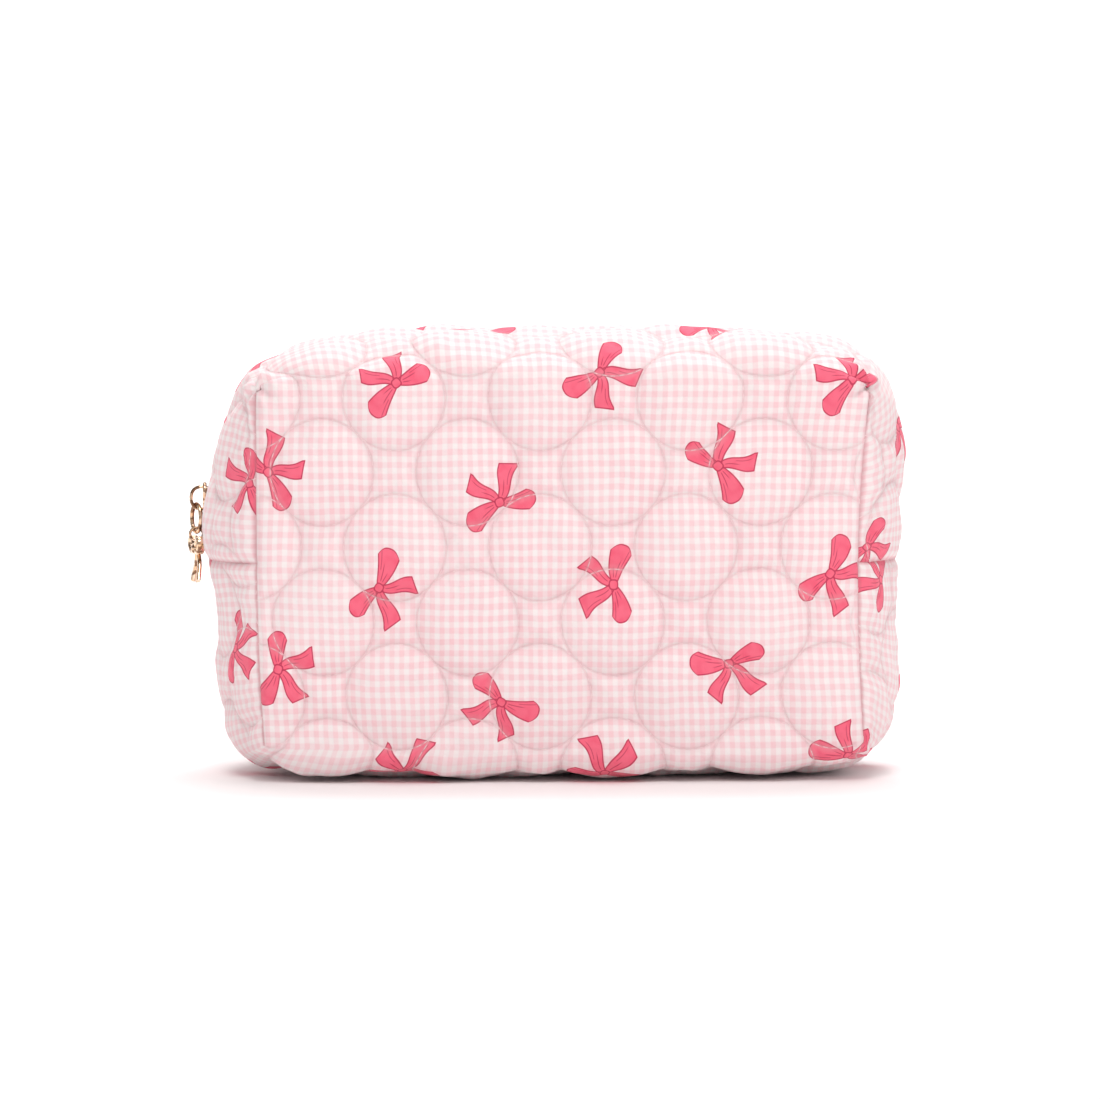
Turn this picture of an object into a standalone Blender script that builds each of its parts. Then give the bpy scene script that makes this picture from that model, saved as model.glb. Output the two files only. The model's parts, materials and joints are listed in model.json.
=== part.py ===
"""Boxed, quilted zip pouch for makeup: quilted shells, lining, seam bindings, zip, slider and charm.

Metres, +Z up. The bag stands on z = 0 with its front facing -Y and its zip running over the top along X.
The origin is on the floor under the middle of the bag.
"""

import math

import bmesh
import bpy
from mathutils import Matrix, Vector

# Driving dimensions of the stuffed bag
WIDTH = 0.250               # end to end, at the end seams
DEPTH = 0.115               # front to back
HEIGHT = 0.163              # floor to top
END_SEAM_Z = 0.077          # height of the horizontal seam on each end
END_BULGE = 0.005           # how far each end swells past its upper and lower edges
FACE_BULGE = 0.004          # the same for the front and back
BOTTOM_ROUND = 0.014        # radius of the fold into the bottom
TOP_ROUND_X = 0.046         # the top slopes down to the ends over this width
TOP_ROUND_Y = 0.024         # and to the front and back over this depth
TOP_ROUND_Z = 0.055         # both over this height
CORNER_ROUND = 0.016        # upright boxed corners, seen from above

# Cloth layers, measured inwards from the outer face
SHELL_THICKNESS = 0.004     # cotton, batting and backing, quilted together
TAPE_THICKNESS = 0.0006
LINING_THICKNESS = 0.0008
BINDING_THICKNESS = 0.0018
GAP = 0.0003                # air between cloth layers that touch

# Zip
ZIP_SLOT = 0.012            # opening between the folded cloth edges
TAPE_WIDTH = 0.014          # one tape, from its inner edge
TAPE_EDGE = 0.0010          # tape's inner edge from the middle of the zip
COIL_EDGE = 0.0006          # coil's inner edge from the middle of the zip
COIL_WIDTH = 0.0018
COIL_HEIGHT = 0.0017

# Seam bindings
BINDING_WIDTH = 0.009       # each side of a boxed-corner seam
END_BINDING_HEIGHT = 0.008
BINDING_TOP_SHARE = 0.8     # the corner strips stop this far down the top's slope

# Slider and pull, on the left end
SLIDER_RISE = 0.0215        # middle of the closed slider above the end seam
SLIDER_LENGTH = 0.0115
SLIDER_WIDTH = 0.0096
SLIDER_NOSE = 0.0052        # width of the slider's lower end
SLIDER_PLATE = 0.0013
SLIDER_POST = 0.0006        # post that splits the coils
SLIDER_CLEARANCE = 0.0009   # slider's outer plate to the coil
BACK_CLEARANCE = 0.0014     # its inner plate to the tape
BRIDGE_LENGTH = 0.0080
BRIDGE_RISE = 0.0052
BRIDGE_RADIUS = 0.0007
RING_OFFSET = 0.0024        # rings and charm hang this far out from the slider's plate
RING_LENGTH = 0.0115        # oval pull ring, outside
RING_WIDTH = 0.0085
RING_WIRE = 0.00075
JUMP_RADIUS = 0.0023        # jump ring between pull ring and charm
JUMP_WIRE = 0.0005
EYE_RADIUS = 0.0014         # eyelet on top of the charm
EYE_WIRE = 0.0005
LINK_CLEARANCE = 0.0003     # between linked rings
KNOT_RADIUS = 0.0022
CHARM_HALF_WIDTH = 0.0100
CHARM_LOOP_RISE = 0.0046    # the loops' tips above the knot
CHARM_DROP = 0.0114         # knot to tail tips
CHARM_THICKNESS = 0.0022
KNOT_THICKNESS = 0.0030

# Smoothness
SIDE_STEPS = 4              # stretches along each side of a level
CORNER_STEPS = 4            # stretches round each corner of a level
MIN_CORNER = 0.004          # inner corners stay at least this round
BOTTOM_STEPS = 4
WALL_STEPS = 3
TOP_STEPS = 7
WIRE_STEPS = 20             # stretches round a ring
WIRE_SIDES = 8

CLOTH = ("gingham_cloth", (0.96, 0.80, 0.82), 0.85, 0.0)
LINING = ("lining_cloth", (0.93, 0.72, 0.76), 0.8, 0.0)
BINDING = ("binding_tape", (0.90, 0.55, 0.63), 0.8, 0.0)
TAPE = ("zip_tape", (0.95, 0.72, 0.77), 0.75, 0.0)
COIL = ("zip_coil", (0.96, 0.78, 0.81), 0.4, 0.0)
GOLD = ("rose_gold", (0.92, 0.66, 0.45), 0.22, 1.0)


def material(spec):
    """Principled material from (name, colour, roughness, metallic), made once."""
    name, colour, roughness, metallic = spec
    made = bpy.data.materials.get(name) or bpy.data.materials.new(name)
    made.use_nodes = True
    shader = made.node_tree.nodes["Principled BSDF"]
    shader.inputs["Base Color"].default_value = (*colour, 1.0)
    shader.inputs["Roughness"].default_value = roughness
    shader.inputs["Metallic"].default_value = metallic
    made.diffuse_color = (*colour, 1.0)
    return made


def add_object(name, bm, spec, smooth=True):
    """Turn a bmesh into a named object with its material."""
    mesh = bpy.data.meshes.new(name)
    bmesh.ops.recalc_face_normals(bm, faces=bm.faces[:])
    bm.to_mesh(mesh)
    bm.free()
    if smooth:
        mesh.shade_smooth()
        mesh.set_sharp_from_angle(angle=math.radians(40))
    if spec:
        mesh.materials.append(material(spec))
    made = bpy.data.objects.new(name, mesh)
    bpy.context.collection.objects.link(made)
    return made


def world_place(empty):
    """Where an unturned empty stands, through its parents."""
    place = Vector()
    while empty:
        place += empty.location
        empty = empty.parent
    return place


def add_empty(name, place, parent=None):
    """Empty on a joint's axis, at a place in the world."""
    empty = bpy.data.objects.new(name, None)
    bpy.context.collection.objects.link(empty)
    empty.parent = parent
    empty.location = Vector(place) - world_place(parent)
    empty.empty_display_size = 0.01
    return empty


# --- The bag's outer form --------------------------------------------------------------------------

def swell(z):
    """0 at the end seam's height, 1 at the floor: how far the walls have drawn in."""
    return min(1.0, ((z - END_SEAM_Z) / END_SEAM_Z) ** 2)


def level(z, inset):
    """Half width, half depth, corner radius and height of the walls at height z, moved inwards."""
    half_x = WIDTH / 2 - END_BULGE * swell(z) - inset
    half_y = DEPTH / 2 - FACE_BULGE * swell(z) - inset
    return half_x, half_y, max(CORNER_ROUND - inset, MIN_CORNER), z


def lower_levels(inset):
    """Levels of the lower form, from its flat bottom up to the end seam."""
    half_x, half_y, corner, _ = level(BOTTOM_ROUND, inset)
    radius = BOTTOM_ROUND - inset
    levels = []
    for step in range(BOTTOM_STEPS):
        turn = math.radians(90 * step / BOTTOM_STEPS)
        draw = radius * (1 - math.sin(turn))
        levels.append((half_x - draw, half_y - draw, corner, BOTTOM_ROUND - radius * math.cos(turn)))
    for step in range(WALL_STEPS + 1):
        levels.append(level(BOTTOM_ROUND + (END_SEAM_Z - BOTTOM_ROUND) * step / WALL_STEPS, inset))
    return levels


def upper_levels(inset):
    """Levels of the upper form, from the end seam up to its flat top."""
    shoulder = HEIGHT - TOP_ROUND_Z
    levels = [level(END_SEAM_Z, inset)]
    half_x, half_y, corner, _ = level(shoulder, 0.0)
    for step in range(TOP_STEPS + 1):
        turn = math.radians(90 * step / TOP_STEPS)
        levels.append((half_x - TOP_ROUND_X + (TOP_ROUND_X - inset) * math.cos(turn),
                       half_y - TOP_ROUND_Y + (TOP_ROUND_Y - inset) * math.cos(turn),
                       max(corner - inset, MIN_CORNER), shoulder + (TOP_ROUND_Z - inset) * math.sin(turn)))
    return levels


def level_ring(bm, half_x, half_y, corner, z):
    """Vertices of one level: a rounded rectangle, anticlockwise from the +X side."""
    corner = min(corner, half_x * 0.9, half_y * 0.9)
    corners = [(half_x - corner, half_y - corner, 0), (-half_x + corner, half_y - corner, 90),
               (-half_x + corner, -half_y + corner, 180), (half_x - corner, -half_y + corner, 270)]
    ring = []
    for index, (centre_x, centre_y, start) in enumerate(corners):
        arc = []
        for step in range(CORNER_STEPS + 1):
            turn = math.radians(start + 90 * step / CORNER_STEPS)
            arc.append(Vector((centre_x + corner * math.cos(turn), centre_y + corner * math.sin(turn), z)))
        next_x, next_y, next_start = corners[(index + 1) % 4]
        turn = math.radians(next_start)
        reach = Vector((next_x + corner * math.cos(turn), next_y + corner * math.sin(turn), z))
        side = [arc[-1].lerp(reach, step / SIDE_STEPS) for step in range(1, SIDE_STEPS)]
        ring.extend(bm.verts.new(point) for point in arc + side)
    return ring


def join_rings(bm, first, second):
    """Quads between two rings with the same number of vertices."""
    count = len(first)
    for index in range(count):
        after = (index + 1) % count
        bm.faces.new((first[index], first[after], second[after], second[index]))


def layer_mesh(levels_at, outer_inset, inner_inset, rim_z):
    """Closed cup between two depths of the form: an outer skin, an inner skin and a flat rim."""
    bm = bmesh.new()
    skins = []
    for inset in (outer_inset, inner_inset):
        rings = [level_ring(bm, *values) for values in levels_at(inset)]
        for first, second in zip(rings, rings[1:]):
            join_rings(bm, first, second)
        skins.append(rings)
    upright = levels_at is lower_levels
    rim, cap = (-1, 0) if upright else (0, -1)
    for rings in skins:
        bm.faces.new(rings[cap])
        for vertex in rings[rim]:
            vertex.co.z = rim_z
    join_rings(bm, skins[0][rim], skins[1][rim])
    return bm


def box_mesh(low, high):
    """Box between two corners."""
    bm = bmesh.new()
    bmesh.ops.create_cube(bm, size=1.0)
    size = Vector(high) - Vector(low)
    middle = (Vector(high) + Vector(low)) / 2
    for vertex in bm.verts:
        vertex.co = Vector(axis * length for axis, length in zip(vertex.co, size)) + middle
    return bm


def keep_inside(target, name, low, high):
    """Keep only the part of an object inside a box, with a Boolean on a hidden cutter."""
    cutter = add_object(name, box_mesh(low, high), None, smooth=False)
    cutter.hide_render = True
    cutter.display_type = 'WIRE'
    cut = target.modifiers.new("keep", 'BOOLEAN')
    cut.operation = 'INTERSECT'
    cut.object = cutter
    return target


# --- Cloth layers ----------------------------------------------------------------------------------

LOWER_RIM = END_SEAM_Z - GAP / 2
UPPER_RIM = END_SEAM_Z + GAP / 2
TAPE_DEPTH = SHELL_THICKNESS + GAP
LINING_DEPTH = TAPE_DEPTH + TAPE_THICKNESS + GAP
BINDING_DEPTH = LINING_DEPTH + LINING_THICKNESS + GAP
REACH = WIDTH + DEPTH + HEIGHT      # past every side of the bag


def add_layer(name, depth, thickness, spec, hinge=None, box=None):
    """One cloth layer of the upper form if it hangs on a hinge, or else of the lower form.

    A box, given by its two corners, cuts the layer down to what lies inside it.
    """
    levels_at, rim = (upper_levels, UPPER_RIM) if hinge else (lower_levels, LOWER_RIM)
    made = add_object(name, layer_mesh(levels_at, depth, depth + thickness, rim), spec)
    if box:
        keep_inside(made, name + "_cutter", *box)
    return hang_on(made, hinge)


def side_box(side, inner, outer):
    """Box on the front (side -1) or back (+1), between two distances from the zip's middle."""
    low_y, high_y = sorted((side * inner, side * outer))
    return (-REACH, low_y, -REACH), (REACH, high_y, REACH)


def build_lower_cloth():
    """Quilted lower tub and its lining."""
    add_layer("lower_shell", 0.0, SHELL_THICKNESS, CLOTH)
    add_layer("lower_lining", LINING_DEPTH, LINING_THICKNESS, LINING)


def build_upper_half(side, word, hinge):
    """Front (side -1) or back (+1) upper half: shell and lining, with its half of the zip."""
    past_slot = side_box(side, ZIP_SLOT / 2, REACH)
    add_layer(word + "_upper_shell", 0.0, SHELL_THICKNESS, CLOTH, hinge, past_slot)
    add_layer(word + "_upper_lining", LINING_DEPTH, LINING_THICKNESS, LINING, hinge, past_slot)
    add_layer(word + "_zip_tape", TAPE_DEPTH, TAPE_THICKNESS, TAPE, hinge,
              side_box(side, TAPE_EDGE, TAPE_EDGE + TAPE_WIDTH))
    add_layer(word + "_zip_coil", TAPE_DEPTH - GAP - COIL_HEIGHT, COIL_HEIGHT, COIL, hinge,
              side_box(side, COIL_EDGE, COIL_EDGE + COIL_WIDTH))


def build_bindings(hinges):
    """Bias binding over the raw edges: eight boxed-corner strips and two end strips."""
    corner_x = WIDTH / 2 - BINDING_WIDTH - BINDING_DEPTH
    corner_y = DEPTH / 2 - BINDING_WIDTH - BINDING_DEPTH
    half_y = corner_y - GAP * 2
    top = HEIGHT - TOP_ROUND_Z * BINDING_TOP_SHARE
    for end, end_word in ((-1, "left"), (1, "right")):
        low_x, high_x = sorted((end * corner_x, end * REACH))
        for side, side_word in ((-1, "front"), (1, "back")):
            low_y, high_y = sorted((side * corner_y, side * REACH))
            for hinge, word in ((None, "lower"), (hinges[side], "upper")):
                low_z, high_z = (-REACH, top) if hinge else (BOTTOM_ROUND, REACH)
                add_layer(f"{side_word}_{end_word}_{word}_binding", BINDING_DEPTH, BINDING_THICKNESS, BINDING,
                          hinge, ((low_x, low_y, low_z), (high_x, high_y, high_z)))
        add_layer(f"{end_word}_end_binding", BINDING_DEPTH, BINDING_THICKNESS, BINDING, None,
                  ((low_x, -half_y, END_SEAM_Z - END_BINDING_HEIGHT), (high_x, half_y, REACH)))


# --- Slider, rings and charm -----------------------------------------------------------------------

def end_half_x(z):
    """Half width of the outer form at height z, on the zip's line."""
    shoulder = HEIGHT - TOP_ROUND_Z
    half_x = level(min(z, shoulder), 0.0)[0]
    rise = max(0.0, z - shoulder) / TOP_ROUND_Z
    return half_x - TOP_ROUND_X * (1 - math.sqrt(1 - rise ** 2))


SLIDER_Z = END_SEAM_Z + SLIDER_RISE
FACE_X = -end_half_x(SLIDER_Z)                              # left end's outer face at the slider
PLATE_IN_X = FACE_X + TAPE_DEPTH - GAP - COIL_HEIGHT - SLIDER_CLEARANCE
PLATE_OUT_X = PLATE_IN_X - SLIDER_PLATE
BACK_PLATE_X = FACE_X + TAPE_DEPTH + TAPE_THICKNESS + BACK_CLEARANCE
RING_X = PLATE_OUT_X - RING_OFFSET
BRIDGE_LOW_Z = SLIDER_Z - BRIDGE_LENGTH / 2
RING_TOP_Z = BRIDGE_LOW_Z + BRIDGE_RADIUS + LINK_CLEARANCE + RING_WIRE      # wire centre, and the ring's axis
RING_HALF_Z = RING_LENGTH / 2 - RING_WIRE
RING_LOW_Z = RING_TOP_Z - 2 * RING_HALF_Z                                   # wire centre, and the charm's axis
JUMP_Z = RING_LOW_Z + RING_WIRE + LINK_CLEARANCE + JUMP_WIRE - JUMP_RADIUS
EYE_Z = JUMP_Z - JUMP_RADIUS + JUMP_WIRE + LINK_CLEARANCE + EYE_WIRE - EYE_RADIUS
KNOT_Z = EYE_Z - EYE_RADIUS - KNOT_RADIUS * 0.8


def wire_mesh(centre, half_y, half_z, wire, turn=0.0):
    """Closed oval wire loop in the YZ plane, turned about the upright axis, round a centre."""
    bm = bmesh.new()
    spin = Matrix.Rotation(turn, 3, 'Z')
    loops = []
    for step in range(WIRE_STEPS):
        angle = math.tau * step / WIRE_STEPS
        along = Vector((0, half_y * math.cos(angle), half_z * math.sin(angle)))
        outward = Vector((0, math.cos(angle) / half_y, math.sin(angle) / half_z)).normalized()
        loop = []
        for side in range(WIRE_SIDES):
            around = math.tau * side / WIRE_SIDES
            point = along + outward * wire * math.cos(around) + Vector((wire * math.sin(around), 0, 0))
            loop.append(bm.verts.new(Vector(centre) + spin @ point))
        loops.append(loop)
    for first, second in zip(loops, loops[1:] + loops[:1]):
        join_rings(bm, first, second)
    return bm


def bridge_mesh():
    """Arched wire on the slider's plate, its two feet sunk into the plate."""
    bm = bmesh.new()
    foot = SLIDER_PLATE / 2
    rise = BRIDGE_RISE - BRIDGE_RADIUS
    path = [(PLATE_OUT_X + foot, BRIDGE_LOW_Z)]
    for step in range(WIRE_STEPS // 2 + 1):
        turn = math.pi * step / (WIRE_STEPS // 2)
        path.append((PLATE_OUT_X - rise * math.sin(turn) ** 0.5, SLIDER_Z - BRIDGE_LENGTH / 2 * math.cos(turn)))
    path.append((PLATE_OUT_X + foot, BRIDGE_LOW_Z + BRIDGE_LENGTH))
    points = [Vector((x, 0, z)) for x, z in path]
    loops = []
    for index, point in enumerate(points):
        along = (points[min(index + 1, len(points) - 1)] - points[max(index - 1, 0)]).normalized()
        across = Vector((0, 1, 0))
        upright = along.cross(across)
        loops.append([bm.verts.new(point + BRIDGE_RADIUS * (across * math.cos(math.tau * side / WIRE_SIDES)
                                                           + upright * math.sin(math.tau * side / WIRE_SIDES)))
                      for side in range(WIRE_SIDES)])
    for first, second in zip(loops, loops[1:]):
        join_rings(bm, first, second)
    bm.faces.new(loops[0])
    bm.faces.new(loops[-1])
    return bm


def plate_mesh(outline, low_x, high_x):
    """Flat plate with an outline in the YZ plane, between two X planes."""
    bm = bmesh.new()
    face = bm.faces.new([bm.verts.new((low_x, y, z)) for y, z in outline])
    grown = bmesh.ops.extrude_face_region(bm, geom=[face])
    for item in grown["geom"]:
        if isinstance(item, bmesh.types.BMVert):
            item.co.x = high_x
    return bm


def slider_outline():
    """Outline of the slider's plates: broad above, where the coils meet, narrow at the nose."""
    low, high = SLIDER_Z - SLIDER_LENGTH / 2, SLIDER_Z + SLIDER_LENGTH / 2
    half, nose = SLIDER_WIDTH / 2, SLIDER_NOSE / 2
    right = [(nose, low), (half, low + SLIDER_LENGTH * 0.3), (half, high - SLIDER_LENGTH * 0.12),
             (half * 0.8, high)]
    return right + [(-y, z) for y, z in reversed(right)]


def bow_outline():
    """Outline of the flat bow: two loops over two tails."""
    wide, rise, drop, knot = CHARM_HALF_WIDTH, CHARM_LOOP_RISE, CHARM_DROP, KNOT_RADIUS
    right = [(0.0, knot * 0.6), (wide * 0.30, knot), (wide * 0.72, rise), (wide * 0.94, rise * 0.85),
             (wide, rise * 0.15), (wide * 0.84, -rise * 0.35), (wide * 0.36, -rise * 0.30),
             (wide * 0.60, -drop * 0.9), (wide * 0.36, -drop), (0.0, -knot * 1.3)]
    outline = right + [(-y, z) for y, z in reversed(right[1:-1])]
    return [(y, z + KNOT_Z) for y, z in outline]


def knot_mesh():
    """Rounded knot, longer than it is wide, over the middle of the bow."""
    bm = bmesh.new()
    bmesh.ops.create_uvsphere(bm, u_segments=12, v_segments=8, radius=1.0)
    for vertex in bm.verts:
        vertex.co = Vector((RING_X + vertex.co.x * KNOT_THICKNESS / 2, vertex.co.y * KNOT_RADIUS * 0.9,
                            KNOT_Z + vertex.co.z * KNOT_RADIUS))
    return bm


def add_solid(name, meshes, spec, parent=None):
    """Object made of one mesh, with any more joined to it by a Boolean union."""
    made = add_object(name, meshes[0], spec)
    for index, bm in enumerate(meshes[1:]):
        other = add_object(f"{name}_{index}", bm, None)
        other.hide_render = True
        other.display_type = 'WIRE'
        union = made.modifiers.new("join", 'BOOLEAN')
        union.operation = 'UNION'
        union.object = other
        hang_on(other, parent)
    return hang_on(made, parent)


def hang_on(made, parent):
    """Parent an object to the empty on its joint's axis and measure its mesh from there."""
    if parent:
        place = world_place(parent)
        for vertex in made.data.vertices:
            vertex.co -= place
        made.parent = parent
    return made


def build_slider_and_pull(hinge):
    """Slider with its bridge, the pull ring it holds, and the bow charm on its jump ring."""
    nose_z = SLIDER_Z - SLIDER_LENGTH / 2
    slider = add_empty("slider_axis", (FACE_X, 0, SLIDER_Z), hinge)
    post = box_mesh((PLATE_IN_X - SLIDER_PLATE / 2, -SLIDER_POST / 2, nose_z + SLIDER_PLATE),
                    (BACK_PLATE_X + SLIDER_PLATE / 2, SLIDER_POST / 2, SLIDER_Z))
    add_solid("zip_slider", [
        plate_mesh(slider_outline(), PLATE_OUT_X, PLATE_IN_X),
        plate_mesh(slider_outline(), BACK_PLATE_X, BACK_PLATE_X + SLIDER_PLATE), post, bridge_mesh()],
        GOLD, slider)
    ring = add_empty("ring_axis", (RING_X, 0, RING_TOP_Z), slider)
    ring_middle = (RING_X, 0, RING_TOP_Z - RING_HALF_Z)
    add_solid("pull_ring", [wire_mesh(ring_middle, RING_WIDTH / 2 - RING_WIRE, RING_HALF_Z, RING_WIRE)],
              GOLD, ring)
    charm = add_empty("charm_axis", (RING_X, 0, RING_LOW_Z), ring)
    add_solid("jump_ring", [wire_mesh((RING_X, 0, JUMP_Z), JUMP_RADIUS, JUMP_RADIUS, JUMP_WIRE,
                                      math.pi / 2)], GOLD, charm)
    half = CHARM_THICKNESS / 2
    add_solid("bow_charm", [
        plate_mesh(bow_outline(), RING_X - half, RING_X + half), knot_mesh(),
        wire_mesh((RING_X, 0, EYE_Z), EYE_RADIUS, EYE_RADIUS, EYE_WIRE)], GOLD, charm)


def main():
    """Clear the scene and build the bag."""
    for old in list(bpy.data.objects):
        bpy.data.objects.remove(old)
    hinges = {side: add_empty(word + "_mouth_axis", (0, side * DEPTH / 2, END_SEAM_Z))
              for side, word in ((-1, "front"), (1, "back"))}
    build_lower_cloth()
    build_upper_half(-1, "front", hinges[-1])
    build_upper_half(1, "back", hinges[1])
    build_bindings(hinges)
    build_slider_and_pull(hinges[-1])


if __name__ == "__main__":
    main()
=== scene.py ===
"""Looks of a boxed, quilted makeup bag: gingham cloth printed with bows, lining, zip, slider and charm."""

import json
import logging
import math
from dataclasses import dataclass, field, replace
from enum import Enum
from typing import Any, Callable, Iterable, Sequence

import bmesh
import bpy
import numpy as np
from mathutils import Matrix, Vector


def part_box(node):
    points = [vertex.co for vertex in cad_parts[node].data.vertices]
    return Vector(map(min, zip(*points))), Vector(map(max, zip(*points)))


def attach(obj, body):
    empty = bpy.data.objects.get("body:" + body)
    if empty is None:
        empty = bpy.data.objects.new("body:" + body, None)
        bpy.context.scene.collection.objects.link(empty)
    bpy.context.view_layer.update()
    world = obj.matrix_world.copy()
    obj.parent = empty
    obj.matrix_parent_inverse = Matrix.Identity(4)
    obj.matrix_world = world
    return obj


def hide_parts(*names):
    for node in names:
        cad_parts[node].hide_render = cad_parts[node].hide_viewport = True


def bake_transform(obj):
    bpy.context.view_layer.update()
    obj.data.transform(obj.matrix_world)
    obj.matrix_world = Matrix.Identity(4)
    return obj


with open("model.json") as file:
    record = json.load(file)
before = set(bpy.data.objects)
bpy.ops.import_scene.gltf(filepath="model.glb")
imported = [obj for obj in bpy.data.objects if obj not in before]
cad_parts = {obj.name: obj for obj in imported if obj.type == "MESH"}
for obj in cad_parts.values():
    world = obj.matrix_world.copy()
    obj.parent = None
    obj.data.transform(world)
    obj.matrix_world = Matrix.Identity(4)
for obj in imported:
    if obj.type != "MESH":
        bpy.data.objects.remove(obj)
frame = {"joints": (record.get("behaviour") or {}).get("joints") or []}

LOG = logging.getLogger("makeup_bag")
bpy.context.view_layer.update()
MM = 0.001
HINGE_Z = next(joint["pos_m"][2] for joint in frame["joints"] if joint["name"] == "front_mouth")
BACK_SHIFT = 0.0131              # the back's cloth is cut this much further along the roll


class Side(Enum):
    """Which long face of the bag a piece belongs to; the value is its direction along Y."""

    FRONT = -1
    BACK = 1


class Part(Enum):
    """The stretches that each side's cloth is laid out in."""

    WALL = 0
    CROWN = 1
    BASE = 2


class Group(Enum):
    """The three cloth pieces that the outer and the lining are each made of."""

    FRONT = 0
    BACK = 1
    BASE = 2


ENDS = {-1: "left", 1: "right"}


def ease(low: float, high: float, value: np.ndarray) -> np.ndarray:
    """Smooth step.

    Args:
        low, high: where the step starts and ends.
        value: where it is read.

    Returns:
        0 up to low, 1 from high on, and a smooth rise between them.
    """
    t = np.clip((np.asarray(value, float) - low) / (high - low), 0.0, 1.0)
    return t * t * (3 - 2 * t)


# --- Shader building -------------------------------------------------------------------------------

class Value:
    """One number in a shader: wraps a socket, so that maths on it is written as Python."""

    def __init__(self, tree: "Shader", socket: bpy.types.NodeSocket) -> None:
        """Wrap a socket of a tree."""
        self.tree = tree
        self.socket = socket

    def _math(self, operation: str, *others: Any) -> "Value":
        """Math node on this value and others."""
        return self.tree.value("ShaderNodeMath", {"operation": operation}, dict(enumerate((self, *others))))

    def __add__(self, other: Any) -> "Value":
        """Sum."""
        return self._math('ADD', other)

    __radd__ = __add__

    def __mul__(self, other: Any) -> "Value":
        """Product."""
        return self._math('MULTIPLY', other)

    __rmul__ = __mul__

    def __sub__(self, other: Any) -> "Value":
        """Difference."""
        return self._math('SUBTRACT', other)

    def __rsub__(self, other: Any) -> "Value":
        """Difference from a number."""
        return self.tree.value("ShaderNodeMath", {"operation": 'SUBTRACT'}, {0: other, 1: self})

    def __truediv__(self, other: Any) -> "Value":
        """Quotient."""
        return self._math('DIVIDE', other)

    def __pow__(self, other: Any) -> "Value":
        """Power."""
        return self._math('POWER', other)

    def sin(self) -> "Value":
        """Sine."""
        return self._math('SINE')

    def abs(self) -> "Value":
        """Distance from zero."""
        return self._math('ABSOLUTE')

    def fract(self) -> "Value":
        """Part after the point."""
        return self._math('FRACT')

    def least(self, other: Any) -> "Value":
        """Smaller of two."""
        return self._math('MINIMUM', other)

    def most(self, other: Any) -> "Value":
        """Larger of two."""
        return self._math('MAXIMUM', other)

    def root(self) -> "Value":
        """Square root."""
        return self._math('SQRT')

    def step(self, low: float, high: float) -> "Value":
        """Smooth step.

        Args:
            low: where the result is 0.
            high: where it is 1; it may be the smaller of the two.

        Returns:
            The step.
        """
        settings = {"interpolation_type": 'SMOOTHSTEP'}
        if low < high:
            return self.tree.value("ShaderNodeMapRange", settings, {"Value": self, 1: low, 2: high})
        return 1 - self.tree.value("ShaderNodeMapRange", settings, {"Value": self, 1: high, 2: low})


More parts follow.
